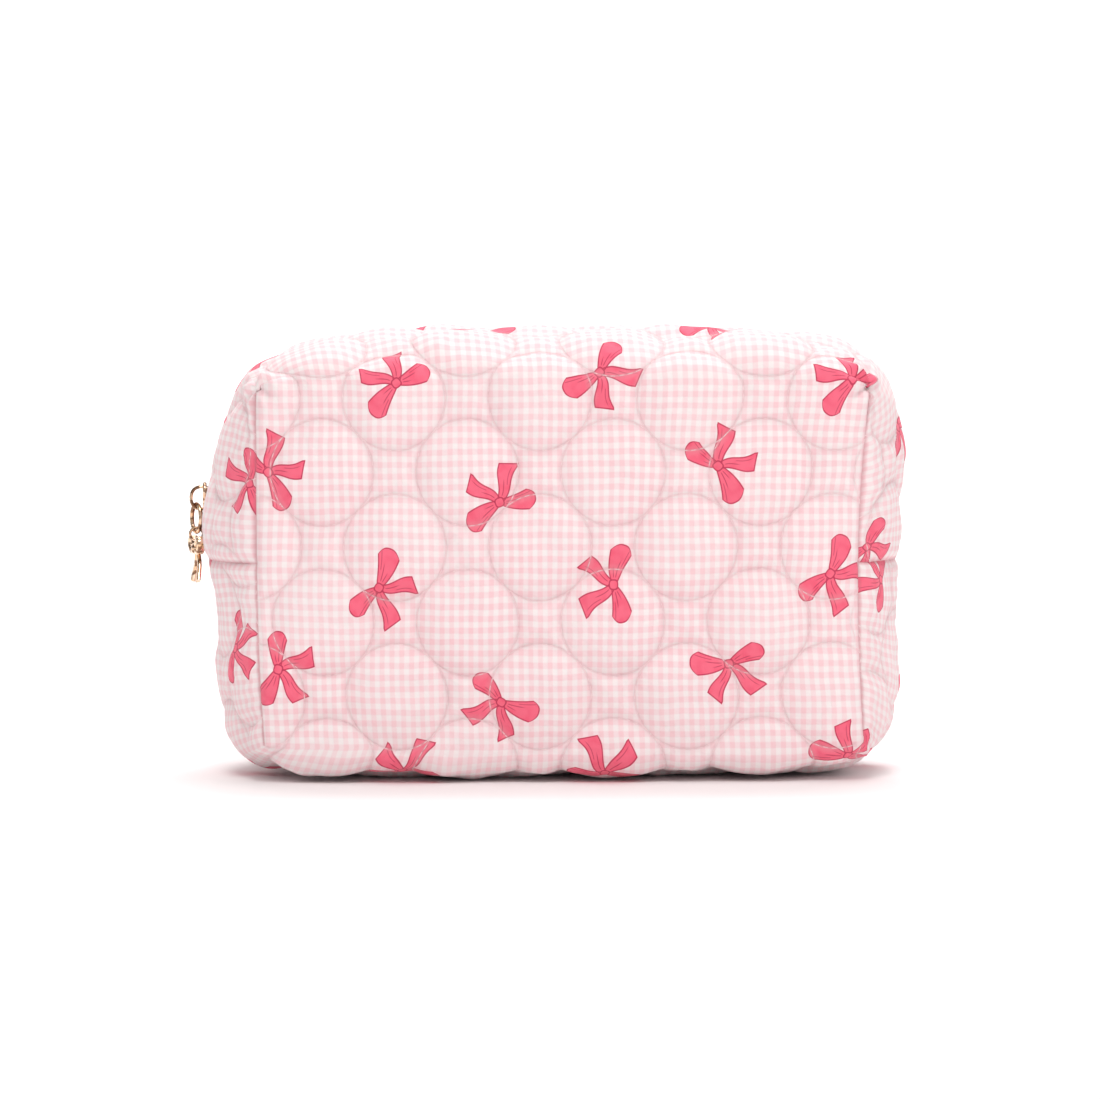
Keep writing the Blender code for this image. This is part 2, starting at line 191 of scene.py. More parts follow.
class Shader:
    """A Principled material under construction."""

    def __init__(self, name: str, **constants: Any) -> None:
        """Start a material.

        Args:
            name: the material's name.
            constants: values set on the Principled shader's own sockets, with _ for a space.
        """
        self.material = bpy.data.materials.new(name)
        self.material.use_nodes = True
        self.nodes = self.material.node_tree.nodes
        self.links = self.material.node_tree.links
        self.main = self.nodes["Principled BSDF"]
        for key, value in constants.items():
            self.main.inputs[key.replace("_", " ")].default_value = value

    def node(self, kind: str, settings: dict | None = None, inputs: dict | None = None) -> bpy.types.Node:
        """Add a node.

        Args:
            kind: the node's type.
            settings: its properties, set before its sockets.
            inputs: values, Values or sockets for its inputs, by name or place.

        Returns:
            The node.
        """
        made = self.nodes.new(kind)
        for key, value in (settings or {}).items():
            setattr(made, key, value)
        for key, value in (inputs or {}).items():
            source = value.socket if isinstance(value, Value) else value
            if isinstance(source, bpy.types.NodeSocket):
                self.links.new(source, made.inputs[key])
            else:
                made.inputs[key].default_value = source
        return made

    def value(self, kind: str, settings: dict, inputs: dict, out: int | str = 0) -> Value:
        """Add a node and wrap one of its outputs."""
        return Value(self, self.node(kind, settings, inputs).outputs[out])

    def mix(self, factor: Any, first: Any, second: Any) -> bpy.types.NodeSocket:
        """Mix two colours.

        Args:
            factor: share of the second colour.
            first, second: each a socket or (r, g, b).

        Returns:
            The mixed colour's socket.
        """
        made = self.node("ShaderNodeMix", {"data_type": 'RGBA'})
        for socket, source in ((made.inputs[0], factor), (made.inputs[6], first), (made.inputs[7], second)):
            source = source.socket if isinstance(source, Value) else source
            if isinstance(source, bpy.types.NodeSocket):
                self.links.new(source, socket)
            else:
                socket.default_value = (*source, 1.0) if isinstance(source, tuple) else source
        return made.outputs[2]

    def uv(self, name: str) -> bpy.types.NodeSocket:
        """One of the mesh's UV maps, in metres."""
        return self.node("ShaderNodeUVMap", {"uv_map": name}).outputs[0]

    def axes(self, vector: bpy.types.NodeSocket, count: int) -> list[Value]:
        """A vector's first axes, in millimetres."""
        split = self.node("ShaderNodeSeparateXYZ", {}, {0: vector})
        return [Value(self, split.outputs[axis]) / MM for axis in range(count)]

    def place(self) -> bpy.types.NodeSocket:
        """Object coordinates."""
        return self.node("ShaderNodeTexCoord").outputs["Object"]

    def noise(self, vector: Any, scale: float, detail: float = 2.0, rough: float = 0.5) -> Value:
        """Smooth noise.

        Args:
            vector: the coordinates it is read at.
            scale: cells to the metre.
            detail, rough: how many finer layers it has, and how strong they are.

        Returns:
            The noise, around 0.5.
        """
        return self.value("ShaderNodeTexNoise", {}, {"Vector": vector, "Scale": scale, "Detail": detail,
                                                     "Roughness": rough})

    def bump(self, height: Value, distance: float, strength: float = 1.0) -> None:
        """Bump the shader's normal.

        Args:
            height: height of the surface.
            distance: metres to each unit of height.
            strength: share of the bump that shows.
        """
        made = self.node("ShaderNodeBump", {}, {"Height": height, "Distance": distance, "Strength": strength})
        self.links.new(made.outputs[0], self.main.inputs["Normal"])

    def feed(self, name: str, source: Any) -> None:
        """Link a value or colour to one of the shader's sockets."""
        self.links.new(source.socket if isinstance(source, Value) else source, self.main.inputs[name])


# --- Finishes --------------------------------------------------------------------------------------

@dataclass(frozen=True)
class GinghamFinish:
    """Crinkled gingham cotton with ribbon bows printed on it, with painted shade in its quilting valleys and
    along its seams.
    """

    quilting: "Quilting"
    repeat: tuple = (3.6, 4.1)       # the checks, in millimetres along and up the cloth
    wander: tuple = (3.2, 2.6)       # how far the stripes stray
    yarn: tuple = (0.42, 0.46)       # the weave's own pitch
    line_half: float = 0.24
    knot_half: tuple = (1.6, 1.5)
    petals: tuple = (                # direction in degrees, length, width, and whether it is a loop
        (53, 13.8, 6.4, False), (127, 13.0, 5.8, False), (-14, 13.2, 7.2, True), (196, 14.2, 8.0, True))
    white: tuple = (0.970, 0.885, 0.880)
    stripe: tuple = (0.968, 0.765, 0.785)
    crossing: tuple = (0.955, 0.640, 0.675)
    bow: tuple = (0.97, 0.165, 0.255)
    bow_dark: tuple = (0.91, 0.100, 0.185)
    outline: tuple = (0.47, 0.022, 0.070)
    # painted shade laid along the seams
    seam: tuple = (0.55, 0.16, 0.20)
    # painted shade for the quilting stitches' valleys
    hollow_shade: tuple = (0.80, 0.52, 0.55)

    def stripes(self, axis: Value, repeat: float) -> Value:
        """Soft-edged stripes, half of each repeat wide."""
        return (axis * (math.tau / repeat)).sin().step(-0.45, 0.45)

    def petal(self, x: Value, y: Value, angle: float, length: float, width: float,
              loop: bool) -> tuple[Value, Value]:
        """One lobe of the bow.

        Args:
            x, y: place in the motif, in millimetres from the knot.
            angle: the lobe's direction, in degrees.
            length, width: of the lobe, in millimetres.
            loop: a loop has a round end, a tail flares to a cut one.

        Returns:
            Signed distance outside the lobe's edge, and the drawn fold lines' darkness.
        """
        turn = math.radians(angle)
        along = x * math.cos(turn) + y * math.sin(turn)
        across = y * math.cos(turn) - x * math.sin(turn)
        share = (along / length).most(0.0).least(1.0)
        if loop:
            across = across + (share * math.pi).sin() * 0.7
            half = (share ** 0.7) * (width / 2) + 0.45
            end = ((across.abs() / (width / 2)) ** 2.6) * 3.0 + along - length
            folds = self.line(across - along * 0.10 - 0.2, along, 2.2, length * 0.66)
            folds = folds.most(self.line(across + along * 0.16 - 0.1, along, 2.0, length * 0.45))
            folds = folds.most(self.line(across - half * 0.66, along, length * 0.42, length * 0.98) * 0.8)
        else:
            across = across + (share * math.tau).sin() * 0.55
            half = (share ** 0.8) * (width / 2 - 0.8) + 0.9
            end = along - length + across * 0.28
            folds = self.line(across - 0.2, along, 2.0, length * 0.62)
            folds = folds.most(self.line(across + half * 0.5, along, length * 0.45, length) * 0.8)
        outside = (across.abs() - half).most(end).most(0.4 - along)
        return outside, folds

    def stitch_gap(self, u: Value, v: Value) -> Value:
        """Distance to the nearest quilting circle.

        Args:
            u, v: place on the cloth, in millimetres.

        Returns:
            The distance, in millimetres.
        """
        quilting, reach = self.quilting, None
        for shift in (0.0, 0.5):
            steps = []
            for place, origin, pitch in zip((u, v), quilting.origin, (quilting.pitch_u, quilting.pitch_v)):
                turns = (place - origin / MM) / (pitch / MM) + (shift + 0.5)
                steps.append((turns.fract() - 0.5) * (pitch / MM))
            gap = (steps[0] * steps[0] + steps[1] * steps[1]).root()
            reach = gap if reach is None else reach.least(gap)
        return (reach - quilting.radius / MM).abs()

    def line(self, across: Value, along: Value, start: float, stop: float) -> Value:
        """A thin line drawn along a lobe.

        Args:
            across, along: place in the lobe, in millimetres from the line and from the knot.
            start, stop: where the line fades in and out.

        Returns:
            The line's darkness.
        """
        inside = along.step(start, start + 0.8) * along.step(stop, stop - 2.2)
        return across.abs().step(self.line_half, self.line_half / 3) * inside

    def drawing(self, shader: Shader) -> tuple[Value, Value]:
        """The printed bow, from the UV map bow.

        Args:
            shader: the material under construction.

        Returns:
            Signed distance outside the bow in millimetres, and the darkness of its outline and folds.
        """
        x, y = shader.axes(shader.uv("bow"), 2)
        outside, folds = None, None
        for angle, length, width, loop in self.petals:
            edge, drawn = self.petal(x, y, angle, length, width, loop)
            near = shader.value("ShaderNodeMath", {"operation": 'LESS_THAN'}, {0: edge, 1: 0.35})
            rim = edge.abs().step(0.34, 0.12) * near
            drawn = drawn * edge.step(0.0, -0.3)
            folds = rim.most(drawn * 0.85) if folds is None else folds.most(rim).most(drawn * 0.85)
            outside = edge if outside is None else outside.least(edge)
        wide, high = self.knot_half
        knot = ((x.abs() / wide) ** 3.0 + (y.abs() / high) ** 3.0) ** (1 / 3)
        knot = (knot - 1) * wide
        folds = (folds * knot.step(-0.15, 0.15)).most(knot.abs().step(0.34, 0.12))
        return outside.least(knot), folds

    def material(self) -> bpy.types.Material:
        """Build the material.

        Returns:
            The material, for meshes with UV maps cloth and bow and attributes seam and open_cloth; seam sets
            the painted shade along the seams.
        """
        shader = Shader("gingham_cloth", Roughness=0.82, Sheen_Weight=0.22, Sheen_Roughness=0.45)
        shader.main.inputs["Sheen Tint"].default_value = (1.0, 0.93, 0.93, 1.0)
        shader.main.inputs["Specular IOR Level"].default_value = 0.22
        cloth = shader.uv("cloth")
        u, v = shader.axes(cloth, 2)
        strays = shader.noise(cloth, 22, 3) - 0.5, shader.noise(cloth, 31, 3, 0.6) - 0.5
        warp, weft = (self.stripes(place + stray * far, repeat) for place, stray, far, repeat
                      in zip((u, v), strays, self.wander, self.repeat))
        yarn = shader.noise(cloth, 900, 3, 0.6)
        uneven = yarn * 0.5 + 0.75
        colour = shader.mix((warp.most(weft) * uneven).least(1.0), self.white, self.stripe)
        colour = shader.mix((warp * weft * uneven).least(1.0), colour, self.crossing)
        colour = shader.mix(shader.noise(cloth, 28, 2).step(0.35, 0.75) * 0.22, colour, self.white)
        outside, folds = self.drawing(shader)
        shade = shader.noise(shader.uv("bow"), 220, 1)
        fill = shader.mix(shade.step(0.42, 0.72) * 0.55, self.bow, self.bow_dark)
        fill = shader.mix(folds.least(1.0) * 0.80, fill, self.outline)
        colour = shader.mix(outside.step(0.18, -0.12).most(folds * outside.step(0.5, 0.2)), colour, fill)
        seam, open_cloth = (shader.value("ShaderNodeAttribute", {"attribute_name": name}, {}, "Fac")
                            for name in ("seam", "open_cloth"))
        gap = self.stitch_gap(u, v)
        # Painted shade: the colour darkens along the quilting circles, where the stitched valleys fall in
        # shade.
        stitch_shade = (gap.step(0.55, 0.1) * 0.30 + gap.step(2.6, 0.2) * 0.20) * open_cloth
        colour = shader.mix(stitch_shade, colour, self.hollow_shade)
        # Painted shade: the colour darkens in a narrow band along the seams.
        shader.feed("Base Color", shader.mix(seam * 0.50, colour, self.seam))
        weave = (u * (math.tau / self.yarn[0])).sin() * (v * (math.tau / self.yarn[1])).sin()
        crinkle = shader.noise(cloth, 420, 2) * 1.6 + warp * 0.35 + weft * 0.30
        pull = gap.step(5.5, 0.3) * open_cloth
        crinkle = crinkle + pull * (shader.noise(cloth, 260, 1) * 4.0 - 1.2)
        crinkle = crinkle - gap.step(0.8, 0.0) * open_cloth * 1.6
        shader.bump(crinkle + weave * 0.16 + yarn * 0.4, 0.00022, 0.75)
        return shader.material


@dataclass(frozen=True)
class WovenFinish:
    """Plain woven cloth or tape, from Object coordinates."""

    name: str
    colour: tuple
    dark: tuple
    rib: float = 0.6
    roughness: float = 0.8
    sheen: float = 0.15

    def material(self) -> bpy.types.Material:
        """Build the material.

        Returns:
            The material.
        """
        shader = Shader(self.name, Roughness=self.roughness, Sheen_Weight=self.sheen)
        place = shader.place()
        x, y, z = shader.axes(place, 3)
        ribs = ((x + z) * (math.tau / self.rib)).sin() * (y * (math.tau / self.rib)).sin()
        mottle = shader.noise(place, 260, 3)
        shade = (mottle * 0.6 + ribs * 0.15).step(0.1, 0.7)
        shader.feed("Base Color", shader.mix(shade, self.dark, self.colour))
        shader.bump(ribs * 0.5 + mottle, 0.00012, 0.6)
        return shader.material


@dataclass(frozen=True)
class GoldFinish:
    """Polished rose gold plating with faint casting waves and worn, duller spots."""

    colour: tuple = (0.86, 0.54, 0.31)
    pale: tuple = (0.98, 0.78, 0.60)
    tarnished: tuple = (0.20, 0.085, 0.040)

    def material(self) -> bpy.types.Material:
        """Build the material.

        Returns:
            The material.
        """
        shader = Shader("rose_gold", Metallic=1.0, Roughness=0.16)
        place = shader.place()
        mottle = shader.noise(place, 500, 3)
        tone = shader.mix(mottle.step(0.3, 0.7), self.colour, self.pale)
        tarnish = shader.noise(place, 430, 2).step(0.50, 0.57)
        shader.feed("Base Color", shader.mix(tarnish * 0.9, tone, self.tarnished))
        shader.feed("Roughness", shader.noise(place, 1400, 3) * 0.14 + 0.08)
        shader.bump(shader.noise(place, 420, 1), 0.0004, 0.35)
        return shader.material


@dataclass(frozen=True)
class NylonFinish:
    """Slightly glossy moulded nylon of the coils, or polyester thread."""

    name: str
    colour: tuple
    dark: tuple
    roughness: float = 0.38

    def material(self) -> bpy.types.Material:
        """Build the material.

        Returns:
            The material.
        """
        shader = Shader(self.name, Roughness=self.roughness, Sheen_Weight=0.1)
        place = shader.place()
        strands = shader.noise(place, 2600, 2)
        shader.feed("Base Color", shader.mix(strands.step(0.3, 0.7), self.dark, self.colour))
        shader.bump(strands, 0.00006, 0.6)
        return shader.material


# --- The bag's form --------------------------------------------------------------------------------

@dataclass(frozen=True)
class BagForm:
    """The stuffed bag's outer form, its front half; the back mirrors it.

    Places on it are s across, from -2 at the left end seam through -1 and 1 at the boxed corners to 2 at the
    right one. The wall goes up with t, 0 at the bottom fold, 1 level with the end seams, 2 at the top fold.
    The crown and the base go in with w, 0 at the wall and 1 at the zip or in the middle of the bottom.
    """

    half_width: tuple                # left and right of the middle, over the zip
    height: float
    seam_z: float
    floor: float = 0.0018
    inset: float = 0.0               # a layer inside keeps this far in from every side
    wall_half: float = 0.110         # half the wall's cloth, between its boxed-corner seams
    top_fold_z: float = 0.140
    bottom_fold_z: float = 0.013
    corner_y: float = 0.0480
    slot_half: float = 0.0054        # half the slot that the zip lies in
    corner_mid_z: float = 0.075      # the corner seams' x there, and how much further out 70 mm up and down
    corner_reach: float = 0.070
    corner_x: tuple = (0.1055, 0.1068)
    corner_up: tuple = (0.0006, 0.0054)
    corner_down: tuple = (-0.0033, 0.0030)
    fold_bulge: float = 0.0025       # the wall's swell at its folds, and more in its middle
    face_bulge: float = 0.0038
    bulge_power: float = 3.2
    crown_round: float = 2.2         # how square the cloth turns over a fold, and how far that turn rises
    crown_rise: float = 0.022
    crown_slack: float = 1.14        # the crown's cloth over its flat depth
    base_round: float = 3.4
    base_rise: float = 0.012
    base_slack: float = 1.08
    turn_range: tuple = (-0.022, 0.012)    # where a boxed corner turns the crown's fold into the end's side
    shoulder_round: tuple = (4.1, 6.0)     # left and right over the zip, higher is squarer
    shoulder_draw: tuple = (0.0036, 0.0)   # and drawn in round a height
    shoulder_z: float = 0.124
    shoulder_spread: float = 0.019
    foot_round: tuple = (7.5, 9.0)
    foot_draw: tuple = (0.0052, 0.0008)
    foot_spread: float = 0.020
    samples: int = 500

    def seam_x(self, z: np.ndarray, end: np.ndarray) -> np.ndarray:
        """Half width at the boxed-corner seams.

        Args:
            z: heights.
            end: 0 is left, 1 is right.

        Returns:
            The half width at each height.
        """
        t = (z - self.corner_mid_z) / self.corner_reach
        middle, up, down = (np.where(end == 1, pair[1], pair[0])
                            for pair in (self.corner_x, self.corner_up, self.corner_down))
        return middle + up * np.maximum(t, 0) ** 2 + down * np.minimum(t, 0) ** 2 - self.inset

    def profile(self, end: int, lower: bool) -> tuple[np.ndarray, np.ndarray, np.ndarray]:
        """Curve over (or under) one end, from the bag's middle out to the end seam.

        Args:
            end: 0 is left, 1 is right.
            lower: under the bag, or over it.

        Returns:
            Cloth length from the middle, half width and height.
        """
        turn = np.linspace(np.pi / 2, 0, self.samples)
        power = (self.foot_round if lower else self.shoulder_round)[end]
        side, rise = np.cos(turn) ** (2 / power), np.sin(turn) ** (2 / power)
        side[0] = 0.0
        half = self.half_width[end] - self.inset
        if lower:
            z = self.seam_z - (self.seam_z - self.floor - self.inset) * rise
            x = (half - self.foot_draw[end] * ease(0, self.foot_spread, self.seam_z - z)) * side
        else:
            z = self.seam_z + (self.height - self.inset - self.seam_z) * rise
            drawn = np.exp(-((z - self.shoulder_z) / self.shoulder_spread) ** 2)
            x = np.maximum(half * side - self.shoulder_draw[end] * drawn, 0)
        length = np.concatenate([[0], np.cumsum(np.hypot(np.diff(x), np.diff(z)))])
        return length, x, z

    def drop(self, end: int, lower: bool) -> float:
        """Cloth length from a boxed corner to the end seam."""
        return float(self.profile(end, lower)[0][-1]) - self.wall_half + self.inset

    def round_over(self, w: np.ndarray, depth: float, rise: float,
                   power: float) -> tuple[np.ndarray, np.ndarray]:
        """Quarter of a superellipse, by cloth length.

        Args:
            w: shares of the cloth's length over it.
            depth, rise: its size across and up.
            power: 2 is round, more is squarer.

        Returns:
            How far across and how far up each share is, from 0 to 1.
        """
        turn = np.linspace(0, np.pi / 2, self.samples)
        across, up = 1 - np.cos(turn) ** (2 / power), np.sin(turn) ** (2 / power)
        length = np.concatenate([[0], np.cumsum(np.hypot(np.diff(across) * depth, np.diff(up) * rise))])
        length /= length[-1]
        return np.interp(w, length, across), np.interp(w, length, up)

    def depth(self, lower: bool) -> float:
        """Cloth length over the crown or the base.

        Args:
            lower: the base, or the crown.

        Returns:
            The length from the fold to the middle of the bottom, or to the zip.
        """
        if lower:
            return self.base_slack * self.corner_y
        return self.crown_slack * (self.corner_y - self.slot_half)

    def wall(self, s: np.ndarray, t: np.ndarray) -> np.ndarray:
        """The wall.

        Args:
            s, t: places on it.

        Returns:
            Their points.
        """
        low, high = self.bottom_fold_z + self.inset, self.top_fold_z - self.inset
        z = np.where(t < 1, low + (self.seam_z - low) * t, self.seam_z + (high - self.seam_z) * (t - 1))
        bulge = self.fold_bulge + self.face_bulge * np.sin(np.pi * (z - low) / (high - low)) ** 2
        y = -(self.corner_y - self.inset + bulge * (1 - np.abs(s) ** self.bulge_power))
        return np.stack([s * self.seam_x(z, (s > 0).astype(int)), y, z], -1)

    def strip(self, s: np.ndarray, w: np.ndarray, lower: bool) -> np.ndarray:
        """The crown or the base.

        Args:
            s, w: places on it.
            lower: the base, or the crown.

        Returns:
            Their points.
        """
        fold_z = self.bottom_fold_z + self.inset if lower else self.top_fold_z - self.inset
        far_y = 0.0 if lower else self.slot_half
        end, size = (s > 0).astype(int), np.abs(s)
        far_x, far_z, reach = np.zeros_like(s), np.zeros_like(s), np.zeros_like(s)
        wall = self.wall_half - self.inset
        for index in (0, 1):
            length, x, z = self.profile(index, lower)
            there = end == index
            along = np.where(size <= 1, size * wall, wall + (size - 1) * (length[-1] - wall))[there]
            far_x[there], far_z[there] = np.interp(along, length, x), np.interp(along, length, z)
            reach[there] = along - wall
        near_z = fold_z + (self.seam_z - fold_z) * np.clip(size - 1, 0, 1)
        a = np.clip(size, 0, 1)
        near_x = a * self.seam_x(near_z, end)
        near_y = self.corner_y - self.inset + self.fold_bulge * (1 - a ** self.bulge_power)
        power, rise = (self.base_round, self.base_rise) if lower else (self.crown_round, self.crown_rise)
        top_in, top_up = self.round_over(w, near_y.max() - far_y, rise, power)
        turned = ease(*self.turn_range, reach)
        inward = top_in + (w - top_in) * turned
        upward = top_up + (np.sin(np.pi / 2 * w) ** 0.9 - top_up) * turned
        x = near_x + (far_x - near_x) * upward
        y = -(near_y + (far_y - near_y) * inward)
        z = near_z + (far_z - near_z) * upward
        return np.stack([np.sign(s) * x, y, z], -1)

    def drops(self, way: np.ndarray, lower: bool) -> np.ndarray:
        """Cloth length past the corner on the side that each sign points to."""
        return np.where(way > 0, self.drop(1, lower), self.drop(0, lower))

    def cloth_u(self, s: np.ndarray, lower: bool) -> np.ndarray:
        """Place along the cloth for each s."""
        drop = self.drops(s, lower)
        return np.sign(s) * (np.minimum(np.abs(s), 1) * self.wall_half + np.maximum(np.abs(s) - 1, 0) * drop)

    def find_s(self, u: np.ndarray, lower: bool) -> np.ndarray:
        """Find places on the form from places on the cloth.

        Args:
            u: places along the cloth.
            lower: on the base, or on the crown.

        Returns:
            The s of each.
        """
        size = np.abs(u)
        return np.sign(u) * np.where(size < self.wall_half, size / self.wall_half,
                                     1 + (size - self.wall_half) / self.drops(u, lower))


@dataclass(frozen=True)
class Quilting:
    """Circles of stitching that touch their diagonal neighbours, and the padding that puffs between."""

    radius: float = 0.0186
    pitch_u: float = 0.0526
    pitch_v: float = 0.0523
    origin: tuple = (-0.0064, 0.0828)
    loft: float = 0.0042
    softness: float = 0.0042         # how far from the stitching the padding nears its full loft
    thread: float = 0.0009
    reach: int = 8                   # repeats each way that are tried for circles

    def from_centre(self, u: np.ndarray, v: np.ndarray) -> np.ndarray:
        """Distance to the nearest circle's centre.

        Args:
            u, v: places on the cloth.

        Returns:
            The distance of each.
        """
        best = np.full(np.shape(u), 1.0)
        for shift in (0.0, 0.5):
            du = (u - self.origin[0]) / self.pitch_u + shift
            dv = (v - self.origin[1]) / self.pitch_v + shift
            du, dv = (du - np.round(du)) * self.pitch_u, (dv - np.round(dv)) * self.pitch_v
            best = np.minimum(best, np.hypot(du, dv))
        return best

    def relief(self, u: np.ndarray, v: np.ndarray) -> np.ndarray:
        """How far the cloth puffs out.

        Args:
            u, v: places on the cloth.

        Returns:
            The height of each, 0 along the stitching.
        """
        reach = self.from_centre(u, v)
        off = np.sqrt((reach - self.radius) ** 2 + self.thread ** 2) - self.thread
        crown = np.where(reach < self.radius, 1.0 + 0.16 * (1 - (reach / self.radius) ** 2), 0.9)
        return self.loft * crown * (1 - np.exp(-off / self.softness))

    def circles(self, low: tuple, high: tuple) -> Iterable[tuple[float, float]]:
        """Circles that reach into a rectangle of cloth.

        Args:
            low, high: its corners.

        Returns:
            Their centres.
        """
        tried = range(-self.reach, self.reach + 1)
        for shift in (0.0, 0.5):
            for i in tried:
                for j in tried:
                    u = self.origin[0] + (i + shift) * self.pitch_u
                    v = self.origin[1] + (j + shift) * self.pitch_v
                    if (low[0] - self.radius < u < high[0] + self.radius
                            and low[1] - self.radius < v < high[1] + self.radius):
                        yield u, v


@dataclass(frozen=True)
class BowPrint:
    """Where the printed bows lie on the cloth."""

    placed: tuple = (                # u and v in millimetres, and which way the tails point, in degrees
        (-58, 140, 128), (14.7, 144, 315), (102, 141, 130), (-104.6, 109, 41), (-21, 98.5, 113),
        (57, 111, 43), (-64.7, 69, 327), (20, 70, 180), (98, 73.4, 325), (-102, 40.4, 343),
        (-20.7, 29, 240), (61.5, 42, 282), (-55, 3, 100), (17, 4, 80), (103, 8, 60))
    origin: tuple = (17, 70.5)       # the rest follow this repeat, each a little off it
    repeat: tuple = (81.5, 70.5)
    stray: tuple = (4, 5)
    apart: float = 30                # least distance between two bows
    seed: int = 7

    def places(self) -> np.ndarray:
        """Every bow on the bag's cloth.

        Returns:
            Rows of u and v in metres and angle in radians.
        """
        rows = [list(row) for row in self.placed]
        chooser = np.random.default_rng(self.seed)
        for shift in (0, 0.5):
            for i in range(-4, 5):
                for j in range(-4, 5):
                    u, v = (start + (step + shift) * pitch + chooser.uniform(-off, off)
                            for start, step, pitch, off in zip(self.origin, (i, j), self.repeat, self.stray))
                    angle = chooser.uniform(0, 360)
                    if all(math.hypot(u - row[0], v - row[1]) > self.apart for row in rows):
                        rows.append([u, v, angle])
        places = np.array(rows, float)
        places[:, :2] *= MM
        places[:, 2] = np.radians(places[:, 2] - 90)
        return places

    def local(self, corners: np.ndarray, middles: np.ndarray) -> np.ndarray:
        """Places in the bow's own drawing.

        Args:
            corners: places on the cloth of every face's corners.
            middles: places of the faces' middles.

        Returns:
            Each corner's place from its face's nearest bow, turned and flipped with the bow.
        """
        places = self.places()
        gap = np.linalg.norm(middles[:, None, :] - places[None, :, :2], axis=2)
        nearest = gap.argmin(1)
        offset = corners - places[nearest][:, None, :2]
        turn = places[nearest][:, 2][:, None]
        flip = np.where(nearest % 2 == 0, 1.0, -1.0)[:, None]
        x = offset[..., 0] * np.cos(turn) + offset[..., 1] * np.sin(turn)
        y = offset[..., 1] * np.cos(turn) - offset[..., 0] * np.sin(turn)
        return np.stack([x * flip, y], -1)


# --- Cloth pieces ----------------------------------------------------------------------------------

def waves(points: np.ndarray, length: float, seed: int, count: int = 28) -> np.ndarray:
    """Smooth random waves.

    Args:
        points: where they are read.
        length: about their wavelength.
        seed: starts the random draws.
        count: how many waves are added up.

    Returns:
        The waves' height at each point, around 0 and of about unit size.
    """
    chooser = np.random.default_rng(seed)
    ways = chooser.normal(size=(count, 3))
    ways *= (math.tau / length) / np.linalg.norm(ways, axis=1, keepdims=True)
    ways *= chooser.uniform(0.7, 1.4, (count, 1))
    return np.cos(points @ ways.T + chooser.uniform(0, math.tau, count)).sum(-1) / math.sqrt(count / 2)


def make_object(name: str, points: np.ndarray, faces: Sequence, material: bpy.types.Material,
                smooth: bool = True) -> bpy.types.Object:
    """Make a mesh object at the origin.

    Args:
        name: the object's name.
        points, faces: of its mesh.
        material: its finish.
        smooth: whether its faces are shaded smooth.

    Returns:
        The object.
    """
    mesh = bpy.data.meshes.new(name)
    mesh.from_pydata(np.asarray(points, float).tolist(), [], [list(map(int, face)) for face in faces])
    mesh.materials.append(material)
    mesh.update()
    mesh.polygons.foreach_set("use_smooth", [smooth] * len(mesh.polygons))
    made = bpy.data.objects.new(name, mesh)
    bpy.context.scene.collection.objects.link(made)
    return made


def quads(rows: int, columns: int, first: int = 0) -> np.ndarray:
    """Faces of a grid of points.

    Args:
        rows, columns: the grid's points each way.
        first: its first point's number.

    Returns:
        Four points' numbers for each face, along the rows and then the columns.
    """
    start = first + (np.arange(rows - 1)[:, None] * columns + np.arange(columns - 1)[None, :]).ravel()
    return np.stack([start, start + columns, start + columns + 1, start + 1], 1)


def close(faces: np.ndarray, count: int) -> tuple[np.ndarray, np.ndarray]:
    """Close a sheet of quads into a solid with the same sheet behind it.

    Args:
        faces: the sheet's faces.
        count: how many points it has; the sheet behind has as many, in the same order.

    Returns:
        The solid's faces, and the sheet's open edges.
    """
    edges = np.concatenate([faces[:, [k, (k + 1) % 4]] for k in range(4)])
    _, place, uses = np.unique(np.sort(edges, 1), axis=0, return_index=True, return_counts=True)
    rim = edges[place[uses == 1]]
    sides = np.stack([rim[:, 1], rim[:, 0], rim[:, 0] + count, rim[:, 1] + count], 1)
    return np.concatenate([faces, faces[:, ::-1] + count, sides]), rim


@dataclass
class Patch:
    """A grid of cloth: its form, its place on the cloth and how far its points are from its edges."""

    part: Part
    side: Side
    s: np.ndarray
    w: np.ndarray
    points: np.ndarray
    inner: np.ndarray
    cloth: np.ndarray
    to_corner: np.ndarray
    to_end: np.ndarray
    to_zip: np.ndarray
    group: np.ndarray
    flip: bool
    normals: np.ndarray | None = None
    welded: np.ndarray | None = None


